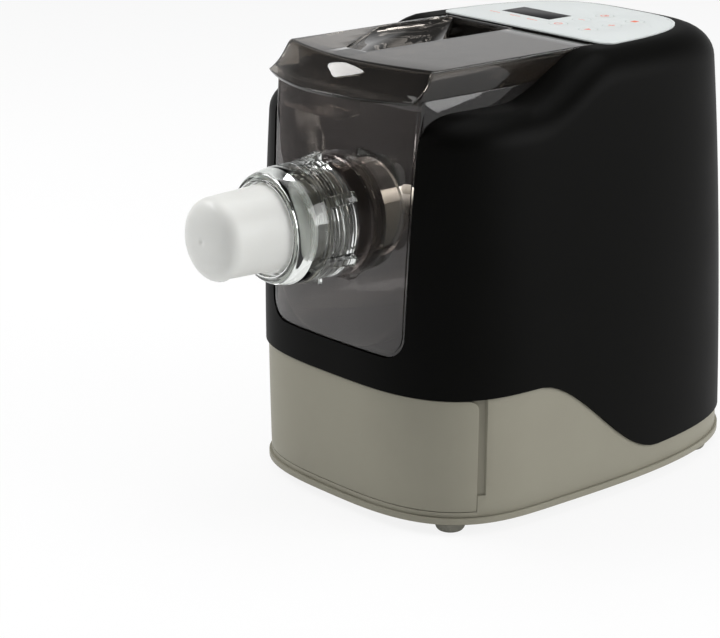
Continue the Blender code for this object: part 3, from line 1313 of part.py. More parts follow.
def build_lid():
    lid = lid_sheet()
    join(lid, *lid_skirts())
    deep = TROUGH_RIM_FALL + TROUGH_FALL + TROUGH_FLOOR
    trough_block = sloped_prism(
        "trough_block", trough_outline(POUR_MARGIN), lambda x: LID_TOP - deep, LID_TOP - LID_WALL / 2)
    trough = sloped_prism("trough_hollow", trough_outline(0.0), trough_floor, LID_TOP + OVERRUN)
    rear = Y_BAY - LID_REAR_CLEARANCE - TROUGH_REAR_MARGIN
    right = -TROUGH_RIGHT
    pour = sloped_prism(
        "pour_hole",
        [(right, Y_FRONT + POUR_FRONT_DEPTH), (right, rear), (-POUR_LEFT, rear)],
        lambda x: LID_TOP - deep - OVERRUN, LID_TOP + OVERRUN)
    slots = []
    for index in range(STRAINER_COUNT):
        start = Y_FRONT + TROUGH_FRONT_DEPTH + STRAINER_PITCH * (index + STRAINER_START_SHARE)
        slots.append((
            (-STRAINER_X - STRAINER_WIDTH / 2, start, LID_TOP - deep - OVERRUN),
            (-STRAINER_X + STRAINER_WIDTH / 2, start + STRAINER_LENGTH, LID_TOP + OVERRUN)))
    join(lid, trough_block)
    cut(lid, trough, pour, boxes("strainer_slots", slots))


def build_drip_rail():
    back = Y_FRONT + RAIL_BACK_DEPTH
    rail = box(
        "lid_drip_rail", (-RAIL_LEFT, Y_FRONT, RAIL_HEIGHT),
        (-RAIL_RIGHT, back, RAIL_HEIGHT + RAIL_THICKNESS), SMOKE)
    web = box(
        "rail_web", (-RAIL_LEFT, back - RAIL_WEB, RAIL_HEIGHT + RAIL_THICKNESS / 2),
        (-RAIL_RIGHT, back, LID_TOP - LID_WALL - GAP))
    inset = PANEL_WALL + GAP + RAIL_CLEARANCE
    guide_points = [outline_point(turn, LID_TOP, inset) for turn in TURNS]
    ring = guide_points + [(-x, y) for x, y in reversed(guide_points[1:-1])]
    guide = prism("rail_guide", [(x, y, BAY_FLOOR) for x, y in ring], (0, 0, HOUSING_TOP))
    join(rail, web)
    keep(rail, guide)


# Control panel
def key_places():
    return [(x, Y_FRONT + depth) for depth in KEY_DEPTHS for x in KEY_X]


def board_span():
    near = Y_FRONT + KEY_DEPTHS[0] - BOARD_MARGIN
    far = Y_FRONT + KEY_DEPTHS[-1] + BOARD_MARGIN
    return near, far


def standoff_places():
    near, far = board_span()
    return [
        (x, y) for x in (STANDOFF_MARGIN - BOARD_LEFT, BOARD_RIGHT - STANDOFF_MARGIN)
        for y in (near + STANDOFF_MARGIN, far - STANDOFF_MARGIN)]


def fascia_block(name, inset, low, high, material=None):
    """D-shaped plate: the body outline behind a straight front edge."""
    points = [outline_point(turn, HOUSING_TOP, FASCIA_INSET + inset) for turn in TURNS]
    front = Y_FRONT + FASCIA_FRONT_DEPTH + inset
    right = [(x, y) for x, y in points if y > front + FASCIA_CORNER]
    corner_x = right[0][0]
    right.insert(0, (corner_x, front + FASCIA_CORNER / 2))
    right.insert(0, (corner_x - FASCIA_CORNER / 2, front))
    ring = right + [(-x, y) for x, y in reversed(right[:-1])]
    return prism(name, [(x, y, low) for x, y in ring], (0, 0, high - low), material)


def build_control_panel():
    panel = fascia_block("control_panel", 0.0, FASCIA_LOW, FASCIA_TOP, PALE)
    key_holes = rods("key_holes", KEY_RADIUS + RUN_GAP, [
        ((x, y, FASCIA_LOW - OVERRUN), (x, y, FASCIA_TOP + OVERRUN)) for x, y in key_places()])
    near = Y_FRONT + DISPLAY_FRONT_DEPTH
    display_hole = box(
        "display_hole", (-DISPLAY_LEFT - GAP, near - GAP, FASCIA_LOW - OVERRUN),
        (-DISPLAY_RIGHT + GAP, near + DISPLAY_LENGTH + GAP, FASCIA_TOP + OVERRUN))
    cut(panel, key_holes, display_hole)
    box(
        "display_window", (-DISPLAY_LEFT, near, FASCIA_LOW),
        (-DISPLAY_RIGHT, near + DISPLAY_LENGTH, FASCIA_TOP), DISPLAY)
    stem_low = BOARD_TOP + SWITCH_HEIGHT + KEY_TRAVEL + GAP
    for index, (x, y) in enumerate(key_places()):
        turned("key_%d" % (index + 1), [
            (0, KEY_TOP), (KEY_RADIUS, KEY_TOP), (KEY_RADIUS, KEY_TOP - KEY_THICKNESS / 2),
            (KEY_STEM_RADIUS, KEY_TOP - KEY_THICKNESS), (KEY_STEM_RADIUS, stem_low), (0, stem_low)],
            KEY, (x, y, 0), axis="Z", steps=SMALL_STEPS)


def build_board():
    near, far = board_span()
    board = box(
        "control_board", (-BOARD_LEFT, near, BOARD_TOP - BOARD_THICKNESS), (BOARD_RIGHT, far, BOARD_TOP), BOARD)
    switches = boxes("key_switches", [
        ((x - SWITCH_SIDE / 2, y - SWITCH_SIDE / 2, BOARD_TOP - BOARD_THICKNESS / 2),
         (x + SWITCH_SIDE / 2, y + SWITCH_SIDE / 2, BOARD_TOP + SWITCH_HEIGHT)) for x, y in key_places()])
    join(board, switches)


def build_lid_switch():
    width, depth, height = LID_SWITCH_SIZE
    near = Y_BAY + HOUSING_WALL + GAP
    top = HOUSING_TOP - HOUSING_WALL - LID_SWITCH_DROP
    box(
        "lid_switch", (LID_SWITCH_X - width / 2, near, top - height),
        (LID_SWITCH_X + width / 2, near + depth, top), DARK)


def build_gland():
    wall_y = rear_at(GLAND_HEIGHT)
    gland = turned("cord_gland", [
        (GLAND_FLANGE_RADIUS, wall_y + GLAND_PROUD), (GLAND_FLANGE_RADIUS, wall_y - HOUSING_WALL),
        (GLAND_NECK_RADIUS, wall_y - HOUSING_WALL), (GLAND_NECK_RADIUS, wall_y - GLAND_LENGTH),
        (GLAND_BORE, wall_y - GLAND_LENGTH), (GLAND_BORE, wall_y + GLAND_PROUD)],
        DARK, (0, 0, GLAND_HEIGHT), ring=True, steps=SMALL_STEPS)
    wall = form("gland_wall", -GAP, level(SKIRT_LOW), level(SHOULDER_HEIGHT))
    neck = rod(
        "gland_neck_space", GLAND_NECK_RADIUS, (0, wall_y - OVERRUN - GLAND_LENGTH, GLAND_HEIGHT),
        (0, wall_y + OVERRUN, GLAND_HEIGHT), steps=SMALL_STEPS)
    cut(wall, neck)
    cut(gland, wall)


build_base()
build_bottom_plate()
build_feet()
build_bottom_screws()
build_drawer()
build_drawer_bay()
SHAFT_HOLE = build_upper_housing()
build_bowl(SHAFT_HOLE)
build_front_panel()
build_barrel()
build_collar()
build_die()
SCREW_REAR = build_screw()
build_seal()
build_gears(SCREW_REAR)
build_gearbox()
build_motor()
build_cradle()
build_lid()
build_drip_rail()
build_control_panel()
build_board()
build_lid_switch()
build_gland()
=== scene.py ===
# %% [markdown]
# # Electric pasta maker: how it looks
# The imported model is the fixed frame: it gives every piece its true size and place.
# This lesson dresses it, first with light and finishes, then with a finer shape
# for each piece that shows, from the grey base up to the keys on top.

# %% Load the frame
import json
import math

import bpy
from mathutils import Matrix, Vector
from mathutils.geometry import interpolate_bezier


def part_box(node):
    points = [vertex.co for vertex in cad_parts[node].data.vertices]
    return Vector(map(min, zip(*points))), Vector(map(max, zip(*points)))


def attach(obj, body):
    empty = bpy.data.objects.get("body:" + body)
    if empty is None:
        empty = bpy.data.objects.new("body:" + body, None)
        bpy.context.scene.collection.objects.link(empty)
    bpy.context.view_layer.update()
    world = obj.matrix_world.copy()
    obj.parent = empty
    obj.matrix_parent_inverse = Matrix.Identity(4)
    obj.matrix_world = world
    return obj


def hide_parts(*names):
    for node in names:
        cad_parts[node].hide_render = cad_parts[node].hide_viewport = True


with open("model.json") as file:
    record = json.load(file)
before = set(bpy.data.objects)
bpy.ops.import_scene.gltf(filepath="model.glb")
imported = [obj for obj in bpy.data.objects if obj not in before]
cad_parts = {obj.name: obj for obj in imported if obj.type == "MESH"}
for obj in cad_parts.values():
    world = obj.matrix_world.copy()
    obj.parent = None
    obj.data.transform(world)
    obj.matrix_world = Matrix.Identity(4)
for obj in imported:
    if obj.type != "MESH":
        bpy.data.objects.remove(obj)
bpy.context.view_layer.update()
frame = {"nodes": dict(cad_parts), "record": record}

# %% [markdown]
# ## Camera
# The photograph was taken with a long lens from the front right, a little above the lid.
# The camera aims at one point of the machine from a measured turn, tilt and distance,
# so its place follows from four numbers.

# %% Place the camera
VIEW_TURN = math.radians(49.884)
VIEW_TILT = math.radians(17.115)
VIEW_DISTANCE = 1.55015
VIEW_TARGET = Vector((0.00244, -0.08115, 0.11756))
LENS = 125.42

towards_camera = Vector((
    math.sin(VIEW_TURN) * math.cos(VIEW_TILT),
    -math.cos(VIEW_TURN) * math.cos(VIEW_TILT),
    math.sin(VIEW_TILT)))
bpy.ops.object.camera_add(location=VIEW_TARGET + towards_camera * VIEW_DISTANCE)
camera = bpy.context.object
camera.rotation_euler = towards_camera.to_track_quat("Z", "Y").to_euler()
camera.data.lens = LENS
bpy.context.scene.camera = camera
print("The camera stands at", [round(value, 3) for value in camera.location])

# %% [markdown]
# ## Shader helpers
# A finish is easier to read when its maths looks like maths. Number wraps a shader
# output, so that + - * on it add Math nodes. Finish wraps a material and adds
# any other node with one method.

# %% Write shader maths as expressions
def add_node(tree, kind, settings=None, values=None, output=0):
    """Adds a node, its settings first and then its sockets' values or links."""
    made = tree.nodes.new(kind)
    for key, value in (settings or {}).items():
        setattr(made, key, value)
    for key, value in (values or {}).items():
        if isinstance(value, bpy.types.NodeSocket):
            tree.links.new(value, made.inputs[key])
        else:
            made.inputs[key].default_value = value
    return made.outputs[output]


class Number:
    """A shader output that takes part in Python sums and products."""

    def __init__(self, finish, output):
        self.finish = finish
        self.output = output

    def maths(self, operation, first, second):
        return self.finish.node("ShaderNodeMath", {"operation": operation}, {0: first, 1: second})

    def __add__(self, other):
        return self.maths("ADD", self, other)

    __radd__ = __add__

    def __sub__(self, other):
        return self.maths("SUBTRACT", self, other)

    def __rsub__(self, other):
        return self.maths("SUBTRACT", other, self)

    def __mul__(self, other):
        return self.maths("MULTIPLY", self, other)

    __rmul__ = __mul__


class Finish:
    """A material and the nodes that feed its Principled shader."""

    def __init__(self, name, **constants):
        self.material = bpy.data.materials.new(name)
        self.material.use_nodes = True
        self.tree = self.material.node_tree
        self.shader = self.tree.nodes["Principled BSDF"]
        for socket, value in constants.items():
            self.feed(socket.replace("_", " "), value)

    def node(self, kind, settings=None, values=None, output=0):
        plain = {key: getattr(value, "output", value) for key, value in (values or {}).items()}
        return Number(self, add_node(self.tree, kind, settings, plain, output))

    def feed(self, socket, value):
        if isinstance(value, Number):
            self.tree.links.new(value.output, self.shader.inputs[socket])
        else:
            self.shader.inputs[socket].default_value = value

    def place(self):
        return self.node("ShaderNodeTexCoord", output="Object")

    def noise(self, size, detail=2.0, place=None):
        """Noise whose lumps are about this size in metres."""
        return self.node("ShaderNodeTexNoise", None, {
            "Vector": place or self.place(), "Scale": 1 / size, "Detail": detail})

    def blend(self, share, first, second):
        return self.node("ShaderNodeMix", {"data_type": "RGBA"}, {0: share, 6: first, 7: second}, 2)

    def bump(self, height, depth):
        self.feed("Normal", self.node("ShaderNodeBump", None, {"Height": height, "Distance": depth}))


def tone(red, green, blue):
    """Linear colour of a screen colour given from 0 to 255."""
    linear = []
    for value in (red, green, blue):
        share = value / 255
        linear.append(share / 12.92 if share <= 0.04045 else ((share + 0.055) / 1.055) ** 2.4)
    return (*linear, 1.0)


print("A mid grey of 128 is", round(tone(128, 128, 128)[0], 3), "in linear light")

# %% [markdown]
# ## Finishes
# Most of the machine is moulded plastic. Its skin is never quite even: the mould leaves
# a fine grain, and handling leaves slow changes of gloss. One recipe gives both, with the
# colour, gloss, grain size and grain depth of each plastic.

# %% Moulded plastics
PATCH_SIZE = 0.045
PATCH_GLOSS, GRAIN_GLOSS = 0.10, 0.12


def moulded(name, dark, light, roughness, gloss=0.5, grain=0.0006, depth=0.00002, **constants):
    finish = Finish(name, **{"Specular_IOR_Level": gloss, **constants})
    grains = finish.noise(grain)
    patches = finish.noise(PATCH_SIZE, 3.0)
    finish.feed("Base Color", finish.blend(patches, dark, light))
    finish.feed("Roughness", roughness + PATCH_GLOSS * (patches - 0.5) + GRAIN_GLOSS * (grains - 0.5))
    finish.bump(grains, depth)
    return finish.material


BLACK = moulded("satin_black", tone(4, 4, 3), tone(8, 8, 7), 0.48, 0.045, 0.0007, 0.00003)
GREY = moulded("warm_grey_plastic", tone(140, 136, 122), tone(148, 145, 130), 0.50, 0.25, 0.0008, 0.00002)
DARK = moulded("dark_plastic_skin", tone(34, 33, 33), tone(48, 47, 46), 0.38, 0.4)
RUBBER = moulded("foot_rubber", tone(120, 119, 110), tone(140, 138, 128), 0.75, 0.25, 0.0010, 0.00006)
SEAL_RUBBER = moulded("seal_rubber", tone(32, 32, 32), tone(44, 44, 44), 0.7, 0.3)
NYLON = moulded("off_white_nylon", tone(196, 194, 186), tone(214, 211, 202), 0.42, 0.45, 0.0009, 0.00002)
MILKY = moulded(
    "milky_nozzle", tone(216, 216, 212), tone(226, 226, 222), 0.36, 0.3, 0.0012, 0.00001,
    Subsurface_Weight=0.35, Subsurface_Scale=0.004, Subsurface_Radius=(1.0, 0.95, 0.9))
PALE = moulded("pale_overlay", tone(203, 207, 206), tone(211, 215, 214), 0.42, 0.20, 0.0005, 0.000008)
print("Moulded plastics:", BLACK.name, GREY.name, DARK.name, NYLON.name, MILKY.name, PALE.name)

# %% [markdown]
# Clear plastic is a wall that light goes through. The window, bowl and lid are tinted
# like smoke, and the collar isn't. Real mouldings are wavy, so a slow noise bends
# the highlights a little.

# %% Clear plastics
WAVE_SIZE = 0.030
SHADE_SHARE = 0.94


def clear(name, tint, roughness, waviness, haze=0.0):
    finish = Finish(name, Transmission_Weight=1.0 - haze, IOR=1.46, Roughness=roughness)
    waves = finish.noise(WAVE_SIZE)
    shade = [share * SHADE_SHARE for share in tint[:3]]
    finish.feed("Base Color", finish.blend(waves, (*shade, 1.0), tint))
    finish.bump(waves, waviness)
    return finish.material


SMOKE = clear("smoked_clear", tone(200, 193, 190), 0.01, 0.00010, haze=0.01)
BOWL_SMOKE = clear("smoked_bowl", tone(180, 173, 169), 0.03, 0.00015, haze=0.02)
LID_SMOKE = clear("smoked_lid", tone(160, 154, 147), 0.02, 0.00008, haze=0.02)
RING_SMOKE = clear("smoked_ring", tone(150, 142, 138), 0.05, 0.00010, haze=0.04)
BARREL_CLEAR = clear("barrel_clear", tone(222, 219, 214), 0.04, 0.0001, haze=0.04)
CLEAR = clear("clear_collar", tone(240, 243, 240), 0.02, 0.0002)
print("Clear plastics:", SMOKE.name, BOWL_SMOKE.name, CLEAR.name)

# %% [markdown]
# Inside, the drive is metal. Turned steel shows rings from the lathe, and zinc-plated sheet
# shows a grain that runs one way. Stretched noise gives both: it is fine across the marks
# and long along them.

# %% Metals, board and display
def metal(name, dark, light, roughness, stretch, grain=0.0009, depth=0.00001):
    finish = Finish(name, Metallic=1.0)
    place = finish.node("ShaderNodeMapping", None, {"Vector": finish.place(), "Scale": stretch})
    marks = finish.noise(grain, 3.0, place)
    finish.feed("Base Color", finish.blend(marks, dark, light))
    finish.feed("Roughness", roughness + 0.25 * (marks - 0.5))
    finish.bump(marks, depth)
    return finish.material


STEEL = metal("turned_steel", tone(168, 168, 170), tone(205, 205, 206), 0.30, (1.0, 12.0, 1.0))
BRONZE = metal("sintered_bronze", tone(176, 137, 84), tone(206, 166, 108), 0.42, (1.0, 1.0, 1.0))
ZINC = metal("zinc_plate", tone(176, 178, 182), tone(206, 207, 209), 0.40, (0.15, 1.0, 1.0))
BOARD = moulded("circuit_board", tone(28, 92, 52), tone(38, 108, 62), 0.42)
ORANGE = moulded("orange_print", tone(226, 92, 52), tone(236, 104, 62), 0.4)
display_finish = Finish(
    "display_glass", Base_Color=tone(26, 26, 29), Roughness=0.30, Specular_IOR_Level=0.04)
display_finish.bump(display_finish.noise(0.012), 0.00002)
DISPLAY = display_finish.material

NODE_FINISHES = {
    "black_shell": BLACK, "warm_grey": GREY, "smoke_clear": SMOKE, "clear_plastic": CLEAR,
    "milky_white": MILKY, "dark_plastic": DARK, "dark_rubber": SEAL_RUBBER, "pale_panel": PALE,
    "display_dark": DISPLAY, "key_pad": PALE, "white_nylon": NYLON, "steel": STEEL,
    "bronze": BRONZE, "zinc_sheet": ZINC, "board_green": BOARD}
for row in frame["record"]["subparts"]:
    mesh = frame["nodes"][row["node"]].data
    mesh.materials.clear()
    mesh.materials.append(NODE_FINISHES[row["material_slot"]])
print("Finishes given to", len(frame["nodes"]), "pieces of the frame")

# %% [markdown]
# ## Modelling helpers
# Every piece starts as a primitive and is shaped as by hand. An operator acts on all that
# is selected, so each helper deselects everything first and picks what it needs by place.

# %% Start, select, apply
MERGE_DISTANCE = 0.000002


def deselect():
    if bpy.context.mode != "OBJECT":
        bpy.ops.object.mode_set(mode="OBJECT")
    bpy.ops.object.select_all(action="DESELECT")


def activate(piece):
    deselect()
    piece.select_set(True)
    bpy.context.view_layer.objects.active = piece


def select(piece, kind, test):
    """Enters edit mode with the vertices, edges or faces that pass a test of their middle."""
    activate(piece)
    bpy.ops.object.mode_set(mode="EDIT")
    bpy.ops.mesh.select_mode(type=kind)
    bpy.ops.mesh.select_all(action="DESELECT")
    bpy.ops.object.mode_set(mode="OBJECT")
    mesh = piece.data
    corners = mesh.vertices
    if kind == "VERT":
        for corner in corners:
            corner.select = test(corner.co)
    if kind == "EDGE":
        for edge in mesh.edges:
            near, far = (corners[index].co for index in edge.vertices)
            edge.select = test((near + far) / 2, far - near)
    if kind == "FACE":
        for face in mesh.polygons:
            face.select = test(face.center, face.normal)
    bpy.ops.object.mode_set(mode="EDIT")


def settle(piece):
    """Puts the piece's place, turn and size into its mesh."""
    activate(piece)
    bpy.ops.object.transform_apply(location=True, rotation=True, scale=True)
    return piece


def named(name):
    piece = bpy.context.object
    piece.name = name
    piece.data.name = name
    return piece


def mend(piece):
    """Closes the seams and turns every face outwards."""
    activate(piece)
    bpy.ops.object.mode_set(mode="EDIT")
    bpy.ops.mesh.select_all(action="SELECT")
    bpy.ops.mesh.remove_doubles(threshold=MERGE_DISTANCE)
    bpy.ops.mesh.normals_make_consistent(inside=False)
    bpy.ops.object.mode_set(mode="OBJECT")
    return piece


def modify(piece, kind, **settings):
    """Adds a modifier and applies it."""
    activate(piece)
    change = piece.modifiers.new(kind.lower(), kind)
    for key, value in settings.items():
        setattr(change, key, value)
    bpy.ops.object.modifier_apply(modifier=change.name)
    return piece


def combine(piece, tool, operation, keep_tool=False):
    modify(piece, "BOOLEAN", object=tool, operation=operation, solver="EXACT")
    if not keep_tool:
        bpy.data.objects.remove(tool)
    return piece


def cut(piece, *tools):
    for tool in tools:
        combine(piece, tool, "DIFFERENCE")
    return piece


def join(piece, *tools):
    for tool in tools:
        combine(piece, tool, "UNION")
    return piece


CRISP, SOFT = 0.0004, 0.0005


def ease(piece, width, steps=2, angle=40):
    """Rounds the sharp edges, because no moulded or cut edge is perfectly sharp."""
    return modify(
        piece, "BEVEL", width=width, segments=steps, limit_method="ANGLE",
        angle_limit=math.radians(angle), use_clamp_overlap=True)


def dress(piece, body, material, slot, *nodes, smooth=35):
    """Gives a finished piece its material, shading and body, and hides the nodes it stands for."""
    settle(piece)
    piece.data.materials.clear()
    piece.data.materials.append(material)
    bpy.ops.object.shade_smooth_by_angle(angle=math.radians(smooth))
    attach(piece, body)
    if nodes:
        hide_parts(*nodes)
    print(piece.name, "has", len(piece.data.polygons), "faces and rides on", body)
    return piece


# %% Primitives at their size and place
def block(name, low, high):
    low, high = Vector(low), Vector(high)
    deselect()
    bpy.ops.mesh.primitive_cube_add(size=1, location=(low + high) / 2, scale=high - low)
    return settle(named(name))


def rod(name, radius, start, end, steps=64):
    start, end = Vector(start), Vector(end)
    deselect()
    bpy.ops.mesh.primitive_cylinder_add(
        vertices=steps, radius=radius, depth=(end - start).length, location=(start + end) / 2,
        rotation=(end - start).to_track_quat("Z", "Y").to_euler())
    return settle(named(name))


def lathe(name, profile, centre, axis="Y", steps=96):
    """Spins an outline of (radius, place along the axis) round a line through the centre."""
    along_y = axis == "Y"
    points = [Vector((radius, place, 0) if along_y else (radius, 0, place)) for radius, place in profile]
    deselect()
    bpy.ops.mesh.primitive_plane_add(size=1)
    piece = named(name)
    bpy.ops.object.mode_set(mode="EDIT")
    bpy.ops.mesh.select_mode(type="VERT")
    bpy.ops.mesh.select_all(action="SELECT")
    bpy.ops.mesh.merge(type="CENTER")
    bpy.ops.transform.translate(value=points[0])
    for before, after in zip(points, points[1:]):
        bpy.ops.mesh.extrude_vertices_move(TRANSFORM_OT_translate={"value": after - before})
    bpy.ops.mesh.select_all(action="SELECT")
    bpy.ops.mesh.spin(
        steps=steps, angle=math.tau, center=(0, 0, 0), axis=(0, 1, 0) if along_y else (0, 0, 1))
    bpy.ops.object.mode_set(mode="OBJECT")
    piece.location = centre
    settle(piece)
    return mend(piece)


def arc(centre, radius, start, end, steps):
    """Points of an arc as (first, second) pairs, between two angles in degrees."""
    points = []
    for index in range(steps + 1):
        turn = math.radians(start + (end - start) * index / steps)
        points.append((centre[0] + radius * math.cos(turn), centre[1] + radius * math.sin(turn)))
    return points


def middle_of(node):
    """Middle (x, y) of a frame piece, seen from above."""
    low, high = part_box(node)
    return (low.x + high.x) / 2, (low.y + high.y) / 2


def drill(piece, node, radius, low, high, steps=24):
    """Cuts an upright hole at a frame piece's middle."""
    x, y = middle_of(node)
    cut(piece, rod("drill", radius, (x, y, low), (x, y, high), steps))


def slit(name, x, width, start, length, low, high):
    """A block about x that runs back from a start."""
    return block(name, (x - width / 2, start, low), (x + width / 2, start + length, high))


print("Helpers are ready")

# %% [markdown]
# ## The body's form
# From above, the body is a blunt bow in front and a fuller round behind. A superellipse
# gives such an outline with one power for each end. The outline leans in with height, and
# the same rule makes the grey base, the black housing and the window's curve, so that
# they stay flush. The sizes come from the frame and the same named leans as the model.

# %% Outline of the body at any height
rim_low, rim_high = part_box("bottom_plate")
housing_low, housing_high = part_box("upper_housing")
HALF_WIDTH = rim_high.x
Y_FRONT = rim_low.y
Y_REAR = rim_high.y
RIM_LOW = rim_low.z
RIM_TOP = rim_high.z
TOP = housing_high.z
FRONT_POWER, FRONT_POWER_RISE = 3.05, 0.71
REAR_POWER, REAR_POWER_RISE = 3.00, 0.60
WIDEST_SHARE = 0.2965
SIDE_LEAN, SIDE_LEAN_POWER = 0.0073, 3.26
FRONT_LEAN, FRONT_LEAN_POWER = 0.0103, 2.2
REAR_LEAN, REAR_LEAN_POWER = 0.0264, 1.13
GAP = 0.0003
HALF_STEPS = 72
FINE_STEPS = 40
SEARCH_STEPS = 40
SETTLE_STEPS = 5


def height_share(height):
    return max((height - RIM_TOP) / (TOP - RIM_TOP), 0.0)


def outline(turn, height, inset):
    """Point (x, y) of the right half, from the front middle at turn 0 to the rear middle at pi."""
    share = height_share(height)
    front = Y_FRONT + FRONT_LEAN * share ** FRONT_LEAN_POWER + inset
    rear = Y_REAR - REAR_LEAN * share ** REAR_LEAN_POWER - inset
    half = HALF_WIDTH - SIDE_LEAN * share ** SIDE_LEAN_POWER - inset
    widest = front + (rear - front) * WIDEST_SHARE
    power, reach = FRONT_POWER + FRONT_POWER_RISE * share, front - widest
    if turn > math.pi / 2:
        power, reach = REAR_POWER + REAR_POWER_RISE * share, rear - widest
    across = half * max(math.sin(turn), 0.0) ** (2 / power)
    return across, widest + reach * abs(math.cos(turn)) ** (2 / power)


def even_turns(count):
    """Turns that space the outline's points evenly."""
    fine = [math.pi * index / (count * FINE_STEPS) for index in range(count * FINE_STEPS + 1)]
    points = [Vector(outline(turn, RIM_TOP, 0.0)) for turn in fine]
    run = [0.0]
    for before, after in zip(points, points[1:]):
        run.append(run[-1] + (after - before).length)
    turns, place = [], 0
    for index in range(count + 1):
        while place < len(run) - 1 and run[place] < run[-1] * index / count:
            place += 1
        turns.append(fine[place])
    return turns


TURNS = even_turns(HALF_STEPS)
print("The outline is", round(2 * HALF_WIDTH, 4), "m wide and", round(Y_REAR - Y_FRONT, 4), "m long")

# %% [markdown]
# A flat grid is rolled into the form, as a sheet of paper would be: its columns go round
# the outline, and its rows climb from the middle of the underside, up the wall, over
# a rounded edge and in to the middle of the top. Closing the seam then makes one solid.

# %% Roll a grid into a body form
def smooth_step(share):
    share = min(max(share, 0.0), 1.0)
    return share * share * (3 - 2 * share)


def level(height):
    return lambda y: height


TOP_SHARES = (0.75, 0.5, 0.25, 0.0)


def form_rows(inset, bottom, top, edge, walls, arcs):
    """Rows as (inset, height rule, share of the half width), from the underside to the top."""
    rows = [(inset, bottom, 0.0)]
    for index in range(walls + 1):
        share = index / walls
        rows.append((inset, lambda y, share=share: bottom(y) + (top(y) - edge - bottom(y)) * share, 1.0))
    for index in range(1, arcs + 1):
        turn = math.pi / 2 * index / arcs
        drop = edge * (1 - math.sin(turn))
        rows.append((inset + edge * (1 - math.cos(turn)), lambda y, drop=drop: top(y) - drop, 1.0))
    last = rows[-1]
    for share in TOP_SHARES:
        rows.append((last[0], last[1], share))
    return rows


def body_form(name, inset, bottom, top, edge=0.0, walls=3, arcs=0):
    rows = form_rows(inset, bottom, top, edge, walls, arcs)
    columns = 2 * HALF_STEPS
    deselect()
    bpy.ops.mesh.primitive_grid_add(x_subdivisions=columns, y_subdivisions=len(rows) - 1, size=1)
    piece = named(name)
    for corner in piece.data.vertices:
        column = round((corner.co.x + 0.5) * columns)
        row_inset, height_at, share = rows[round((corner.co.y + 0.5) * (len(rows) - 1))]
        side = 1 if column <= HALF_STEPS else -1
        turn = TURNS[column if side > 0 else columns - column]
        height = height_at(outline(turn, RIM_TOP, row_inset)[1])
        for _ in range(SETTLE_STEPS):
            across, along = outline(turn, height, row_inset)
            height = height_at(along)
        corner.co = (side * across * share, along, height)
    return mend(piece)


print("A form has", 2 * HALF_STEPS, "columns")

# %% [markdown]
# ## Black housing
# The real housing is one deep moulding. It is made here as the full form first; then the
# hollow and the bay for the bowl are cut out, as the mould's cores do. The skirt falls
# in a long curve behind the drawer, and the shoulders fall in front to show the bowl.

# %% Lines of the skirt and of the shoulders
SKIRT_HIGH, SKIRT_LOW = 0.0868, housing_low.z
SKIRT_FALL_START, SKIRT_FALL_LENGTH = 0.0778, 0.1100
SHOULDER_LOW = 0.2558
SHOULDER_RISE_START, SHOULDER_RISE_LENGTH = 0.0788, 0.0680
HOUSING_WALL = 0.0030
HOUSING_EDGE = 0.0190


def skirt_line(y):
    return SKIRT_HIGH - (SKIRT_HIGH - SKIRT_LOW) * smooth_step(
        (y - Y_FRONT - SKIRT_FALL_START) / SKIRT_FALL_LENGTH)


def shoulder_line(y):
    return SHOULDER_LOW + (TOP - SHOULDER_LOW) * smooth_step(
        (y - Y_FRONT - SHOULDER_RISE_START) / SHOULDER_RISE_LENGTH)


print("The shoulders rise by", round(TOP - SHOULDER_LOW, 4), "m")

# %% [markdown]
# The bay is a U from the front: a block whose lower edges are well rounded, and whose
# sides open out a little towards the top. The window and the bowl repeat this U
# a little smaller, so one helper makes all of them.

# %% U-shaped block
BAY_FLOOR = 0.1078
BAY_HALF_LOW, BAY_HALF_HIGH = 0.0624, 0.0680
BAY_CORNER = 0.0150
Y_BAY = Y_FRONT + 0.1568
OVER = 0.0100
SHAFT_WAY, GLAND_WAY = 0.0080, 0.0073


def bay_half(height):
    return BAY_HALF_LOW + (BAY_HALF_HIGH - BAY_HALF_LOW) * (height - BAY_FLOOR) / (TOP - BAY_FLOOR)


def u_block(name, inset, floor, ceiling, corner, near, far, steps=14):
    half = bay_half(floor) - inset
    piece = block(name, (-half, near, floor), (half, far, ceiling))
    spread = (bay_half(ceiling) - inset) / half
    select(piece, "VERT", lambda place: place.z > (floor + ceiling) / 2)
    bpy.ops.transform.resize(value=(spread, 1, 1), center_override=(0, (near + far) / 2, ceiling))
    select(piece, "EDGE", lambda middle, run: abs(middle.z - floor) < GAP and abs(run.x) < GAP)
    bpy.ops.mesh.bevel(offset=corner, segments=steps, affect="EDGES")
    bpy.ops.object.mode_set(mode="OBJECT")
    return piece


# %% Housing shell
housing = body_form(
    "housing_shell", 0.0, skirt_line, shoulder_line, edge=HOUSING_EDGE, walls=16, arcs=10)
core = body_form(
    "housing_core", HOUSING_WALL, lambda y: skirt_line(y) - OVER,
    lambda y: shoulder_line(y) - HOUSING_WALL, edge=HOUSING_EDGE - HOUSING_WALL, walls=8, arcs=5)
bay_wall = u_block(
    "bay_wall", -HOUSING_WALL, BAY_FLOOR - HOUSING_WALL, TOP + 2 * OVER, BAY_CORNER + HOUSING_WALL,
    Y_FRONT - 2 * OVER, Y_BAY + HOUSING_WALL)
cut(core, bay_wall)
bay = u_block("bay", 0.0, BAY_FLOOR, TOP + OVER, BAY_CORNER, Y_FRONT - OVER, Y_BAY)
shaft_low, shaft_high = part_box("drive_shaft")
AXIS = (shaft_low.z + shaft_high.z) / 2
gland_low, gland_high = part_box("cord_gland")
GLAND_HEIGHT = (gland_low.z + gland_high.z) / 2


def bore(name, radius, near, far, height=AXIS, steps=64):
    """A rod that runs back through the machine's middle."""
    return rod(name, radius, (0, near, height), (0, far, height), steps)


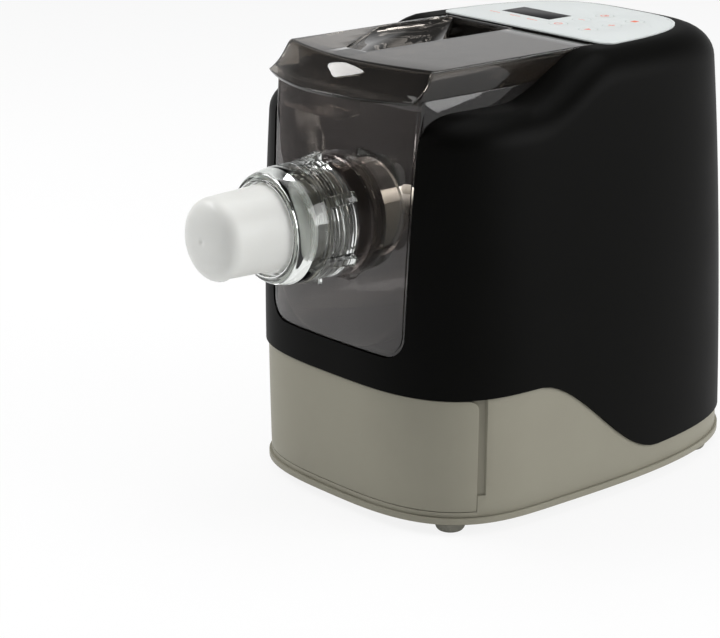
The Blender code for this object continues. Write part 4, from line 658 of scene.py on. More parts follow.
shaft_way = bore("shaft_way", SHAFT_WAY, Y_BAY - OVER, Y_BAY + 2 * OVER)
gland_way = bore("gland_way", GLAND_WAY, gland_low.y - OVER, gland_high.y + OVER, GLAND_HEIGHT)
cut(housing, bay, core, shaft_way, gland_way)
print("The housing has", len(housing.data.polygons), "faces")

# %% [markdown]
# The control panel lies in a shallow recess. Its outline is the body's round behind
# a straight front edge. One helper draws it, a hair larger for the recess and later
# at its true size for the panel.

# %% Recess for the panel
panel_low, panel_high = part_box("control_panel")
PANEL_RECESS = 0.0009
PANEL_INSET, PANEL_FRONT, PANEL_CORNER = 0.0215, 0.1584, 0.0070


def panel_slab(name, grow, low, high):
    """The panel's D-shaped outline as a plain slab, grown by a margin."""
    inset = PANEL_INSET - grow
    front = Y_FRONT + PANEL_FRONT - grow
    corner = PANEL_CORNER
    right = [outline(turn, TOP, inset) for turn in TURNS]
    right = [(x, y) for x, y in right if y > front + corner]
    half = right[0][0]
    for x, y in arc((half - corner, front + corner), corner, 0, -90, 8):
        right.insert(0, (x, y))
    ring = right + [(-x, y) for x, y in reversed(right)]
    deselect()
    bpy.ops.mesh.primitive_circle_add(vertices=len(ring), fill_type="NGON", location=(0, 0, 0))
    piece = named(name)
    for corner_point, (x, y) in zip(piece.data.vertices, ring):
        corner_point.co = (x, y, low)
    select(piece, "FACE", lambda middle, normal: True)
    bpy.ops.mesh.extrude_region_move(TRANSFORM_OT_translate={"value": (0, 0, high - low)})
    bpy.ops.object.mode_set(mode="OBJECT")
    return mend(piece)


cut(housing, panel_slab("panel_recess", GAP, TOP - PANEL_RECESS, TOP + OVER))
dress(housing, "body", BLACK, "black_shell", "upper_housing", smooth=32)

# %% [markdown]
# ## Grey base
# The base is a thin moulded wall round the drawer bay. It is the same outline, set in
# by a small step, with a hollow, the drawer's mouth in front and the housing's skirt line
# taken off its top. A narrow groove runs up beside the drawer on each side.

# %% Base shell
BASE_LOW = RIM_TOP + GAP
BASE_STEP = 0.0015
BASE_WALL = 0.0030
DRAWER_LOW = 0.0144
DRAWER_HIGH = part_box("drawer_front")[1].z
Y_DRAWER_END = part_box("drawer_front")[1].y
DRAWER_JOINT = 0.0005
DRAWER_CORNER = 0.0060
GROOVE_LOW, GROOVE_WIDTH, GROOVE_DEPTH = 0.0248, 0.0048, 0.0016


def drawer_block(name, grow, low, rise):
    """The room of the drawer front from the side: its upper rear edge is rounded."""
    far, high = Y_DRAWER_END + grow, DRAWER_HIGH + grow
    piece = block(name, (-2 * HALF_WIDTH, Y_FRONT - OVER, low), (2 * HALF_WIDTH, far, high))
    select(piece, "EDGE", lambda middle, run: middle.z > high - GAP and middle.y > far - GAP)
    bpy.ops.mesh.bevel(offset=DRAWER_CORNER, segments=10, affect="EDGES")
    bpy.ops.object.mode_set(mode="OBJECT")
    if rise:
        upper = block(
            name + "_upper", (-2 * HALF_WIDTH, Y_FRONT - OVER, high - OVER),
            (2 * HALF_WIDTH, far - DRAWER_CORNER, high + rise))
        join(piece, upper)
    return piece


def half_width_at(y, height, inset):
    low, high = 0.0, math.pi
    for _ in range(SEARCH_STEPS):
        turn = (low + high) / 2
        if outline(turn, height, inset)[1] < y:
            low = turn
        else:
            high = turn
    return outline(turn, height, inset)[0]


base = body_form("base_shell", BASE_STEP, level(BASE_LOW), level(SKIRT_HIGH), walls=8)
inside = body_form("base_inside", BASE_STEP + BASE_WALL, level(RIM_LOW), level(SKIRT_HIGH + OVER), walls=8)
skirt_room = body_form("skirt_room", -GAP, lambda y: skirt_line(y) - GAP, level(TOP), walls=8)
mouth = drawer_block("drawer_mouth", DRAWER_JOINT, DRAWER_LOW, OVER)
cut(base, inside, skirt_room, mouth)
for side in (-1, 1):
    near, far = Y_DRAWER_END - OVER, Y_DRAWER_END + DRAWER_JOINT + GROOVE_WIDTH
    groove = block("groove", (0, near, GROOVE_LOW), (OVER, far, SKIRT_HIGH + OVER))
    for corner in groove.data.vertices:
        reach = half_width_at(corner.co.y, DRAWER_LOW, BASE_STEP) - GROOVE_DEPTH
        corner.co.x = side * (corner.co.x + reach)
    cut(base, mend(groove))
ease(base, CRISP)
dress(base, "body", GREY, "warm_grey", "base_housing", smooth=30)

# %% [markdown]
# The lowest band is the bottom plate's edge. It stands out a little further than the base,
# so a fine dark line shows between the two. Its lower edge is well rounded.

# %% Bottom plate
PLATE_FLOOR, RIM_EASE = 0.0022, 0.0009
VENT_COUNT, VENT_PITCH, VENT_WIDTH, VENT_LENGTH = 7, 0.0080, 0.0030, 0.0360
VENT_BACK = 0.0585
VENT_START = Y_REAR - VENT_BACK - VENT_LENGTH / 2
SCREW_WAY, FOOT_WAY = 0.0021, 0.0033
FOOT_NODES = ("foot_front_left", "foot_front_right", "foot_rear_left", "foot_rear_right")
rim = body_form("base_rim", 0.0, level(RIM_LOW), level(RIM_TOP), walls=3)
cut(rim, body_form(
    "plate_hollow", BASE_STEP + BASE_WALL, level(RIM_LOW + PLATE_FLOOR), level(RIM_TOP + OVER), walls=3))
for index in range(VENT_COUNT):
    x = VENT_PITCH * (index - VENT_COUNT // 2)
    cut(rim, slit("vent_slot", x, VENT_WIDTH, VENT_START, VENT_LENGTH, RIM_LOW - OVER, RIM_LOW + OVER))
for index in range(1, 5):
    drill(rim, "bottom_screw_%d" % index, SCREW_WAY, RIM_LOW - OVER, RIM_TOP + OVER)
for node in FOOT_NODES:
    drill(rim, node, FOOT_WAY, RIM_LOW - OVER, RIM_TOP + OVER)
ease(rim, RIM_EASE, 3, 50)
dress(rim, "body", GREY, "warm_grey", "bottom_plate", smooth=40)

# %% [markdown]
# Each foot is a soft dome. A lathe outline from the stem down to the round pad gives it
# in one spin. All four share the outline, and each gets its own mesh.

# %% Feet
foot_low, foot_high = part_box(FOOT_NODES[0])
FOOT_RADIUS = (foot_high.x - foot_low.x) / 2
FOOT_TOP = RIM_LOW - GAP
PAD_RADIUS, STEM_RADIUS, DOME_STEPS = 0.0062, 0.0030, 8
FOOT_SLOPE_IN, FOOT_SLOPE_DOWN, FOOT_BAND = 0.0004, 0.0006, 0.0018
DOME_START = FOOT_TOP - FOOT_BAND
foot_profile = [
    (0, foot_high.z), (STEM_RADIUS, foot_high.z), (STEM_RADIUS, FOOT_TOP),
    (FOOT_RADIUS - FOOT_SLOPE_IN, FOOT_TOP), (FOOT_RADIUS, FOOT_TOP - FOOT_SLOPE_DOWN),
    (FOOT_RADIUS, DOME_START)]
for index in range(1, DOME_STEPS + 1):
    turn = math.pi / 2 * index / DOME_STEPS
    foot_profile.append((
        PAD_RADIUS + (FOOT_RADIUS - PAD_RADIUS) * math.cos(turn), DOME_START * (1 - math.sin(turn))))
foot_profile.append((0, 0))
for node in FOOT_NODES:
    foot = lathe(node + "_dome", foot_profile, (*middle_of(node), 0), "Z", 48)
    dress(foot, "body", RUBBER, "dark_rubber", node)

# %% [markdown]
# The drawer front wraps round the whole bow of the base. It is cut from the same outline,
# so it is flush when shut, and its edges are eased as a moulding's are. The tray is
# a copy of the frame's piece. Such a copy is loose triangles, so it is merged first.

# %% Drawer front and tray
FLAT_ANGLE = math.radians(0.5)
FACE_EASE = 0.0006


def copy_of(node, name):
    """A merged copy of a frame piece, with its flat faces made whole again."""
    deselect()
    piece = bpy.data.objects.new(name, frame["nodes"][node].data.copy())
    bpy.context.scene.collection.objects.link(piece)
    activate(piece)
    bpy.ops.object.mode_set(mode="EDIT")
    bpy.ops.mesh.select_all(action="SELECT")
    bpy.ops.mesh.remove_doubles(threshold=MERGE_DISTANCE)
    bpy.ops.mesh.dissolve_limited(angle_limit=FLAT_ANGLE)
    bpy.ops.object.mode_set(mode="OBJECT")
    return piece


face = body_form(
    "drawer_face", BASE_STEP, level(DRAWER_LOW + DRAWER_JOINT), level(DRAWER_HIGH + OVER), walls=8)
cut(face, body_form(
    "face_inside", BASE_STEP + BASE_WALL, level(RIM_LOW), level(DRAWER_HIGH + 2 * OVER), walls=8))
combine(face, drawer_block("face_room", 0.0, RIM_LOW, 0.0), "INTERSECT")
ease(face, FACE_EASE, 3)
dress(face, "drawer", GREY, "warm_grey", "drawer_front", smooth=30)
tray = ease(copy_of("drawer_tray", "drawer_tray_eased"), SOFT)
dress(tray, "drawer", GREY, "warm_grey", "drawer_tray")

# %% [markdown]
# ## Bowl and window
# The bowl is a deep U in smoked plastic, open in front, where the window closes it. Both
# are cut from the same U-shaped block. The window's curve is the body's outline, and
# a fine step round its front edge catches the light as a thin line.

# %% Mixing bowl
bowl_low, bowl_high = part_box("mixing_bowl")
BOWL_TOP = bowl_high.z
BOWL_FLOOR = bowl_low.z
BOWL_WALL = 0.0024
BOWL_CORNER = 0.0480
BOWL_CLEARANCE = 0.0005
PANEL_WALL = 0.0028


def trim(piece, inset, low=BAY_FLOOR - OVER):
    """Keeps what lies within the body's form, set in by an inset."""
    combine(piece, body_form("trim", inset, level(low), level(TOP), walls=8), "INTERSECT")


bowl = u_block(
    "bowl_shell", BOWL_CLEARANCE, BOWL_FLOOR, BOWL_TOP, BOWL_CORNER, Y_FRONT - OVER, bowl_high.y, steps=28)
trim(bowl, PANEL_WALL + 2 * GAP)
cut(bowl, u_block(
    "bowl_hollow", BOWL_CLEARANCE + BOWL_WALL, BOWL_FLOOR + BOWL_WALL, BOWL_TOP + OVER,
    BOWL_CORNER - BOWL_WALL, Y_FRONT - 2 * OVER, bowl_high.y - BOWL_WALL, steps=28))
cut(bowl, bore("bowl_shaft_way", SHAFT_WAY, bowl_high.y - OVER, bowl_high.y + OVER))
ease(bowl, SOFT)
dress(bowl, "body", BOWL_SMOKE, "smoke_clear", "mixing_bowl")

# %% Window
SEAT_RADIUS = 0.0330
RIM_BAND, RIM_STEP, PANE_CLEARANCE = 0.0022, 0.0008, 0.0004
window = u_block(
    "window_pane", PANE_CLEARANCE, BAY_FLOOR + PANE_CLEARANCE, BOWL_TOP, BAY_CORNER - PANE_CLEARANCE,
    Y_FRONT - OVER, Y_FRONT + 4 * OVER)
trim(window, GAP + RIM_STEP)
middle = u_block(
    "window_middle", RIM_BAND, BAY_FLOOR + RIM_BAND, BOWL_TOP, BAY_CORNER - RIM_BAND,
    Y_FRONT - OVER, Y_FRONT + 4 * OVER)
trim(middle, GAP)
join(window, middle)
cut(window, body_form(
    "pane_inside", GAP + PANEL_WALL, level(BAY_FLOOR - 2 * OVER), level(TOP + OVER), walls=8))
cut(window, bore("pane_way", SEAT_RADIUS, Y_FRONT - OVER, Y_FRONT + 3 * OVER, steps=96))
ease(window, CRISP, 3, 45)
dress(window, "body", SMOKE, "smoke_clear", "front_panel")

# %% [markdown]
# ## Lid
# The lid is one smoked moulding. Its flat top ends in front in a bowed crease, from which
# the lip curls down and out. A grid is bent into that sheet: some of its rows lie along the
# top, and the rest follow one curve with two handles. Solidify gives it its wall.

# %% Plates of any outline
def plate(name, points, shift):
    """A flat outline through given points, extruded by a shift."""
    deselect()
    bpy.ops.mesh.primitive_circle_add(vertices=len(points), fill_type="NGON", location=(0, 0, 0))
    piece = named(name)
    for corner, point in zip(piece.data.vertices, points):
        corner.co = point
    select(piece, "FACE", lambda middle, normal: True)
    bpy.ops.mesh.extrude_region_move(TRANSFORM_OT_translate={"value": shift})
    bpy.ops.object.mode_set(mode="OBJECT")
    return mend(piece)


def sloped_plate(name, points, floor, ceiling):
    """A plate whose underside slopes: its floor is a height for each x."""
    piece = plate(name, [(x, y, 0) for x, y in points], (0, 0, 1))
    for corner in piece.data.vertices:
        corner.co.z = ceiling if corner.co.z > 0.5 else floor(corner.co.x)
    return piece


# %% Sheet of the lid
lid_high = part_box("lid")[1]
LID_HALF, LID_TOP, LID_REAR = lid_high.x, lid_high.z, lid_high.y
LID_WALL = 0.0024
LID_FRONT_DEPTH, LID_BOW, LID_BOW_POWER = 0.0144, 0.0124, 1.7
LIP_REACH, LIP_MIDDLE_REACH, LIP_DROP = 0.0190, 0.0075, 0.0165
LIP_HANDLES = ((0.0, 0.0), (0.30, 0.0), (0.30, 0.62), (1.0, 1.0))
LIP_STEPS = 26
LIP_CURVE = interpolate_bezier(*(Vector((out, down, 0)) for out, down in LIP_HANDLES), LIP_STEPS)
LID_COLUMNS = 72
TOP_ROWS = 8
SHEET_EASE = 0.0007


def lid_front(x):
    return Y_FRONT + LID_FRONT_DEPTH + LID_BOW * (abs(x) / LID_HALF) ** LID_BOW_POWER


def lip_reach(x):
    return LIP_REACH + LIP_MIDDLE_REACH * (1 - (x / LID_HALF) ** 2)


row_count = TOP_ROWS + len(LIP_CURVE)
deselect()
bpy.ops.mesh.primitive_grid_add(x_subdivisions=LID_COLUMNS, y_subdivisions=row_count - 1, size=1)
lid = named("lid_shell")
for corner in lid.data.vertices:
    x = 2 * LID_HALF * corner.co.x
    row = round((corner.co.y + 0.5) * (row_count - 1))
    edge = lid_front(x)
    if row < TOP_ROWS:
        corner.co = (x, LID_REAR + (edge - LID_REAR) * row / TOP_ROWS, LID_TOP)
    else:
        bend = LIP_CURVE[row - TOP_ROWS]
        corner.co = (x, edge - lip_reach(x) * bend.x, LID_TOP - LIP_DROP * bend.y)
mend(lid)
upwards = lid.data.polygons[0].normal.z > 0
modify(lid, "SOLIDIFY", thickness=LID_WALL, offset=-1.0 if upwards else 1.0, use_even_offset=True)
ease(lid, SHEET_EASE, 3, 60)
print("The sheet of the lid has", len(lid.data.polygons), "faces")

# %% [markdown]
# Skirts stand under the sides of the lid and close it down to the bowl. They are set in
# a little under the top, and the edge above them catches the light as a bright line. A
# sloping recess in the left half takes water to a row of strainer slots, and what runs
# past them falls through the three-cornered hole behind.

# %% Skirts, recess and pouring hole
SKIRT_INSET = 0.0006
SKIRT_TOE = 0.0130
SKIRT_END_SHARE = 0.55
skirt_low = BOWL_TOP + GAP
root = LID_TOP - LID_WALL / 2
edge = lid_front(LID_HALF)
skirt_side = [(LID_REAR, root), (LID_REAR, skirt_low), (edge - SKIRT_TOE, skirt_low)]
for bend in reversed(LIP_CURVE):
    if bend.x < SKIRT_END_SHARE:
        skirt_side.append((edge - LIP_REACH * bend.x + LID_WALL / 2, root - LIP_DROP * bend.y))
for side in (-1, 1):
    x = side * (LID_HALF - SKIRT_INSET)
    join(lid, plate("lid_skirt", [(x, y, z) for y, z in skirt_side], (-side * LID_WALL, 0, 0)))
join(lid, block("lid_skirt_rear", (SKIRT_INSET - LID_HALF, LID_REAR - LID_WALL, skirt_low),
                (LID_HALF - SKIRT_INSET, LID_REAR, root)))

TROUGH_RIGHT, TROUGH_LEFT, TROUGH_CORNER_X = -0.0040, 0.0032 - LID_HALF, -0.0240
TROUGH_FRONT, TROUGH_CORNER, TROUGH_REAR = Y_FRONT + 0.0335, Y_FRONT + 0.0950, LID_REAR - 0.0030
TROUGH_RIM_FALL, TROUGH_FALL, TROUGH_FLOOR = 0.0005, 0.0042, 0.0026
POUR_MARGIN = 0.0016
POUR_FRONT, POUR_LEFT = Y_FRONT + 0.0920, TROUGH_LEFT + 0.0050


def trough_outline(margin):
    return [
        (TROUGH_RIGHT + margin, TROUGH_FRONT - margin), (TROUGH_RIGHT + margin, TROUGH_REAR + margin),
        (TROUGH_LEFT - margin, TROUGH_REAR + margin), (TROUGH_LEFT - margin, TROUGH_CORNER - margin),
        (TROUGH_CORNER_X - margin, TROUGH_FRONT - margin)]


def trough_floor(x):
    share = (x - TROUGH_LEFT) / (TROUGH_RIGHT - TROUGH_LEFT)
    return LID_TOP - TROUGH_RIM_FALL - TROUGH_FALL * share


trough_low = LID_TOP - TROUGH_RIM_FALL - TROUGH_FALL - TROUGH_FLOOR
join(lid, sloped_plate("trough_block", trough_outline(POUR_MARGIN), lambda x: trough_low, root))
trough = sloped_plate("trough_hollow", trough_outline(0.0), trough_floor, LID_TOP + OVER)
pour_hole = plate("pour_hole", [
    (TROUGH_RIGHT, POUR_FRONT, trough_low - OVER), (TROUGH_RIGHT, TROUGH_REAR, trough_low - OVER),
    (POUR_LEFT, TROUGH_REAR, trough_low - OVER)], (0, 0, 3 * OVER))
cut(lid, trough, pour_hole)
STRAINER_X, STRAINER_WIDTH, STRAINER_LENGTH = -0.0110, 0.0026, 0.0100
STRAINER_COUNT, STRAINER_PITCH, STRAINER_START_SHARE = 4, 0.0130, 0.3
for index in range(STRAINER_COUNT):
    start = TROUGH_FRONT + STRAINER_PITCH * (index + STRAINER_START_SHARE)
    cut(lid, slit("strainer_slot", STRAINER_X, STRAINER_WIDTH, start, STRAINER_LENGTH,
                  trough_low - OVER, LID_TOP + OVER))
ease(lid, CRISP, 2, 35)
dress(lid, "lid", LID_SMOKE, "smoke_clear", "lid")

# %% [markdown]
# A rounded bead runs beside the slots and turns in at the pouring hole. A pipe like this
# is quickest as a curve with a round bevel, which is then made a mesh.

# %% Bead beside the strainer
def pipe(name, points, radius, steps=4):
    """A round bar with closed ends along straight or bent stretches."""
    path = bpy.data.curves.new(name, "CURVE")
    path.dimensions = "3D"
    path.bevel_depth = radius
    path.bevel_resolution = steps
    path.use_fill_caps = True
    line = path.splines.new("POLY")
    line.points.add(len(points) - 1)
    for place, point in zip(line.points, points):
        place.co = (*point, 1.0)
    deselect()
    piece = bpy.data.objects.new(name, path)
    bpy.context.scene.collection.objects.link(piece)
    activate(piece)
    bpy.ops.object.convert(target="MESH")
    return mend(bpy.context.object)


BEAD_RADIUS, BEAD_X, BEAD_TURN = 0.0009, -0.0142, 0.0030
bead_path = [(BEAD_X, TROUGH_FRONT + BEAD_TURN, trough_floor(BEAD_X))]
for across, along in arc((BEAD_X + BEAD_TURN, POUR_FRONT - 2 * BEAD_TURN), BEAD_TURN, 180, 90, 8):
    bead_path.append((across, along, trough_floor(across)))
bead_path.append((TROUGH_RIGHT - BEAD_TURN, bead_path[-1][1], trough_floor(TROUGH_RIGHT - BEAD_TURN)))
bead = pipe("pouring_bead", bead_path, BEAD_RADIUS)
dress(bead, "lid", LID_SMOKE, "smoke_clear")

# %% [markdown]
# Behind the window hangs a small shelf from the lid. Drips from the lip run along it
# and back into the bowl. It is a block with a web, trimmed to the window's curve.

# %% Drip rail
rail_low, rail_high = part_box("lid_drip_rail")
RAIL_THICKNESS, RAIL_WEB, RAIL_CLEARANCE = 0.0025, 0.0020, 0.0010
rail = block("drip_rail", (rail_low.x, Y_FRONT, rail_low.z),
             (rail_high.x, rail_high.y, rail_low.z + RAIL_THICKNESS))
join(rail, block("rail_web", (rail_low.x, rail_high.y - RAIL_WEB, rail_low.z + RAIL_THICKNESS / 2),
                 (rail_high.x, rail_high.y, rail_high.z)))
trim(rail, PANEL_WALL + GAP + RAIL_CLEARANCE, BAY_FLOOR)
ease(rail, CRISP)
dress(rail, "lid", LID_SMOKE, "smoke_clear", "lid_drip_rail")

# %% [markdown]
# ## Extruder
# In front of the window everything is turned round one axis, so each piece is an outline
# and a spin. First come the barrel, with its thread, and the smoked ring on the window.

# %% Barrel and ring
barrel_low, barrel_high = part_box("extrusion_barrel")
ring_low, ring_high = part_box("barrel_ring")
ON_AXIS = (0, 0, AXIS)
BARREL_BORE, BARREL_OUTER = 0.0270, 0.0310
BARREL_SEAT, BARREL_FLANGE, BARREL_FLANGE_DEPTH = 0.0326, 0.0380, 0.0146
RING_RADIUS = (ring_high.x - ring_low.x) / 2
THREAD_RIDGE, THREAD_PITCH, THREAD_TURNS = 0.0010, 0.0060, 3
seat_end = Y_FRONT + BARREL_FLANGE_DEPTH - GAP
barrel_profile = [
    (BARREL_BORE, barrel_high.y), (BARREL_OUTER, barrel_high.y), (BARREL_OUTER, seat_end),
    (BARREL_SEAT, seat_end), (BARREL_SEAT, ring_low.y), (BARREL_OUTER, ring_low.y)]
for index in range(THREAD_TURNS):
    start = ring_low.y - THREAD_PITCH * (index + 1)
    barrel_profile += [
        (BARREL_OUTER, start), (BARREL_OUTER + THREAD_RIDGE, start - THREAD_PITCH / 6),
        (BARREL_OUTER + THREAD_RIDGE, start - THREAD_PITCH / 3), (BARREL_OUTER, start - THREAD_PITCH / 2)]
barrel_profile += [(BARREL_OUTER, barrel_low.y), (BARREL_BORE, barrel_low.y), (BARREL_BORE, barrel_high.y)]
barrel = lathe("barrel_tube", barrel_profile, ON_AXIS)
flange_bore = (BARREL_BORE + BARREL_OUTER) / 2
flange = lathe("barrel_flange", [
    (flange_bore, Y_FRONT + BARREL_FLANGE_DEPTH), (BARREL_FLANGE, Y_FRONT + BARREL_FLANGE_DEPTH),
    (BARREL_FLANGE, Y_FRONT - OVER), (flange_bore, Y_FRONT - OVER),
    (flange_bore, Y_FRONT + BARREL_FLANGE_DEPTH)], ON_AXIS)
trim(flange, PANEL_WALL + 2 * GAP, BAY_FLOOR)
join(barrel, flange)
dress(barrel, "body", BARREL_CLEAR, "smoke_clear", "extrusion_barrel", smooth=30)

ring_bore = BARREL_SEAT + GAP
RING_EASE = 0.0008
ring = lathe("seat_ring", [
    (ring_bore, Y_FRONT + BARREL_FLANGE_DEPTH), (RING_RADIUS, Y_FRONT + BARREL_FLANGE_DEPTH),
    (RING_RADIUS, ring_low.y + RING_EASE), (RING_RADIUS - RING_EASE, ring_low.y),
    (ring_bore, ring_low.y), (ring_bore, Y_FRONT + BARREL_FLANGE_DEPTH)], ON_AXIS)
cut(ring, body_form("ring_seat", 0.0, level(BAY_FLOOR), level(TOP), walls=8))
dress(ring, "body", RING_SMOKE, "smoke_clear", "barrel_ring", smooth=30)

# %% [markdown]
# The clear collar screws on to the barrel. Its rear half has fine rings and six ribs for
# the fingers, its front half is a smooth shoulder, and its thread shows through.

# %% Collar
collar_low, collar_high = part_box("locking_collar")
die_low, die_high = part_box("pasta_die")
COLLAR_RADIUS, COLLAR_BORE, COLLAR_HOLE = 0.0362, 0.0334, 0.0286
COLLAR_LIP_RADIUS, COLLAR_LIP = 0.0305, 0.0016
SHOULDER_RADIUS, SHOULDER_LENGTH = 0.0318, 0.0215
FINE_RINGS, FINE_PITCH, FINE_DEPTH, FINE_START_SHARE = 8, 0.0024, 0.0008, 0.2
RING_STEPS, SHOULDER_STEPS = 6, 10
DIE_FLANGE, DIE_FLANGE_RADIUS = 0.0038, 0.0312
collar_rear, collar_front = collar_high.y, collar_low.y
inner_wall = die_high.y - DIE_FLANGE - GAP
collar_profile = [(COLLAR_BORE, collar_rear), (COLLAR_RADIUS, collar_rear)]
for index in range(FINE_RINGS):
    start = collar_rear - FINE_PITCH * (index + FINE_START_SHARE)
    for step in range(RING_STEPS + 1):
        share = step / RING_STEPS
        collar_profile.append((
            COLLAR_RADIUS - FINE_DEPTH * (1 - math.sin(math.pi * share)), start - FINE_PITCH * share))
shoulder = collar_front + SHOULDER_LENGTH
collar_profile.append((COLLAR_RADIUS, shoulder))
for index in range(1, SHOULDER_STEPS + 1):
    turn = math.pi / 2 * index / SHOULDER_STEPS
    collar_profile.append((
        COLLAR_RADIUS - (COLLAR_RADIUS - SHOULDER_RADIUS) * (1 - math.cos(turn)),
        shoulder - (SHOULDER_LENGTH - COLLAR_LIP) * math.sin(turn)))
lip_root = collar_front + COLLAR_LIP
collar_profile.append((COLLAR_LIP_RADIUS + COLLAR_LIP / 2, lip_root))
collar_profile += arc((COLLAR_LIP_RADIUS - COLLAR_LIP, lip_root), COLLAR_LIP, 0, -90, 6)
collar_profile += [
    (COLLAR_HOLE + COLLAR_LIP / 2, collar_front), (COLLAR_HOLE, collar_front + COLLAR_LIP / 2),
    (COLLAR_HOLE, inner_wall), (COLLAR_BORE, inner_wall)]
for index in reversed(range(THREAD_TURNS)):
    start = ring_low.y - THREAD_PITCH * (index + 1) + THREAD_PITCH / 6
    collar_profile += [
        (COLLAR_BORE, start - THREAD_PITCH / 3), (COLLAR_BORE - THREAD_RIDGE, start - THREAD_PITCH / 6),
        (COLLAR_BORE - THREAD_RIDGE, start), (COLLAR_BORE, start + THREAD_PITCH / 6)]
collar_profile.append((COLLAR_BORE, collar_rear))
collar = lathe("clear_collar", collar_profile, ON_AXIS, steps=144)

RIB_RADIUS, RIB_WIDTH, RIB_LENGTH, RIB_EASE, RIB_COUNT = 0.0412, 0.0070, 0.0200, 0.0008, 6
rib_root = (COLLAR_RADIUS + COLLAR_BORE) / 2
rib = block("collar_rib", (rib_root, collar_rear - RIB_LENGTH, -RIB_WIDTH / 2),
            (RIB_RADIUS, collar_rear, RIB_WIDTH / 2))
select(rib, "VERT", lambda place: place.x > COLLAR_RADIUS and place.y < collar_rear - RIB_LENGTH / 2)
bpy.ops.transform.translate(value=(COLLAR_RADIUS - RIB_RADIUS + GAP, 0, 0))
ease(rib, RIB_EASE, 3, 30)
for index in range(RIB_COUNT):
    deselect()
    turned_rib = bpy.data.objects.new("collar_rib_%d" % (index + 1), rib.data.copy())
    bpy.context.scene.collection.objects.link(turned_rib)
    turned_rib.rotation_euler = (0, math.tau * (index + 0.5) / RIB_COUNT, 0)
    turned_rib.location = ON_AXIS
    join(collar, settle(turned_rib))
bpy.data.objects.remove(rib)
dress(collar, "collar", CLEAR, "clear_plastic", "locking_collar", smooth=30)

# %% [markdown]
# The milky nozzle is one thin wall turned round the axis, with a flange that the collar
# clamps. Its end is a flattened dome with a small dimple from the mould. Underneath it is
# cut flat, and there the slots let the dough out.

# %% Nozzle
DIE_ROOT, DIE_TIP, DIE_DOME, DIE_POWER, DIE_WALL = 0.0276, 0.0255, 0.0130, 2.9, 0.0030
DIE_CUT = AXIS - 0.0205
SLOT_LENGTH, SLOT_WIDTH, SLOT_PITCH, SLOT_SIDE, SLOT_COUNT = 0.0044, 0.0016, 0.0048, 0.0024, 7
CUT_MARGIN = 0.0010
DIMPLE_RADIUS, DIMPLE_DEPTH = 0.0016, 0.0005
die_root = die_high.y - DIE_FLANGE


def nozzle_outline(clearance, steps=24):
    dome = die_low.y + clearance + DIE_DOME
    points = [(DIE_ROOT - clearance, die_root)]
    for index in range(steps + 1):
        turn = math.pi / 2 * index / steps
        across = max(math.cos(turn), 0.0) ** (2 / DIE_POWER)
        points.append((
            (DIE_TIP - clearance) * across, dome - DIE_DOME * math.sin(turn) ** (2 / DIE_POWER)))
    return points


outer = [point for point in nozzle_outline(0.0) if point[0] > DIMPLE_RADIUS]
dimple_floor = die_low.y + DIMPLE_DEPTH
outer += [(DIMPLE_RADIUS, die_low.y), (DIMPLE_RADIUS / 2, dimple_floor), (0, dimple_floor)]
inner = nozzle_outline(DIE_WALL)[::-1]
FLANGE_EASE = 0.0005
nozzle = lathe("milky_nozzle", inner + [
    (inner[-1][0], die_high.y), (DIE_FLANGE_RADIUS, die_high.y), (DIE_FLANGE_RADIUS, die_root + FLANGE_EASE),
    (DIE_FLANGE_RADIUS - FLANGE_EASE, die_root)] + outer, ON_AXIS, steps=128)
cut_near = collar_front - CUT_MARGIN
cut_far = cut_near - SLOT_PITCH * (SLOT_COUNT - 1) - SLOT_LENGTH - 2 * CUT_MARGIN
filling = nozzle_outline(DIE_WALL / 2)
slot_plate = lathe("slot_plate", [(0, filling[0][1])] + filling, ON_AXIS, steps=64)
combine(slot_plate, block(
    "slot_span", (-HALF_WIDTH, cut_far - DIE_WALL, DIE_CUT - DIE_WALL),
    (HALF_WIDTH, cut_near + DIE_WALL, DIE_CUT + DIE_WALL)), "INTERSECT")
join(nozzle, slot_plate)
cut(nozzle, block("nozzle_under", (-HALF_WIDTH, cut_far, DIE_CUT - OVER), (HALF_WIDTH, cut_near, DIE_CUT)))
for index in range(SLOT_COUNT):
    start = cut_far + CUT_MARGIN + SLOT_PITCH * index
    side = SLOT_SIDE if index % 2 else -SLOT_SIDE
    cut(nozzle, slit("dough_slot", side, SLOT_WIDTH, start, SLOT_LENGTH, DIE_CUT - OVER, DIE_CUT + OVER))
ease(nozzle, SOFT, 3, 45)
dress(nozzle, "body", MILKY, "milky_white", "pasta_die", smooth=40)

# %% [markdown]
# Inside turns one white screw. Its flight is a small outline that the Screw modifier
# sweeps along a helix, and its three arms carry flat blades that stir the bowl.

# %% Mixing screw
screw_low, screw_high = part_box("mixing_screw")
CORE, FLIGHT_RADIUS, FLIGHT_THICKNESS, FLIGHT_PITCH = 0.0085, 0.0262, 0.0040, 0.0200
CORE_EASE, TURN_STEPS = 0.0006, 48
screw = lathe("screw_core", [
    (0, screw_high.y), (CORE - CORE_EASE, screw_high.y), (CORE, screw_high.y - CORE_EASE),
    (CORE, screw_low.y + CORE / 2), (CORE / 2, screw_low.y), (0, screw_low.y)], ON_AXIS, steps=64)
flight_start = screw_low.y + CORE / 2
flight_run = barrel_high.y - flight_start
turns = flight_run / FLIGHT_PITCH
flight_steps = round(TURN_STEPS * turns)
deselect()
bpy.ops.mesh.primitive_circle_add(vertices=4, fill_type="NOTHING", location=(0, 0, 0))
flight = named("screw_flight")
section = ((CORE / 2, 0), (FLIGHT_RADIUS, 0), (FLIGHT_RADIUS, FLIGHT_THICKNESS), (CORE / 2, FLIGHT_THICKNESS))
for corner, (across, along) in zip(flight.data.vertices, section):
    corner.co = (across, flight_start + along, 0)
modify(flight, "SCREW", axis="Y", angle=-math.tau * turns, screw_offset=flight_run, iterations=1,
       steps=flight_steps, render_steps=flight_steps, use_merge_vertices=False)
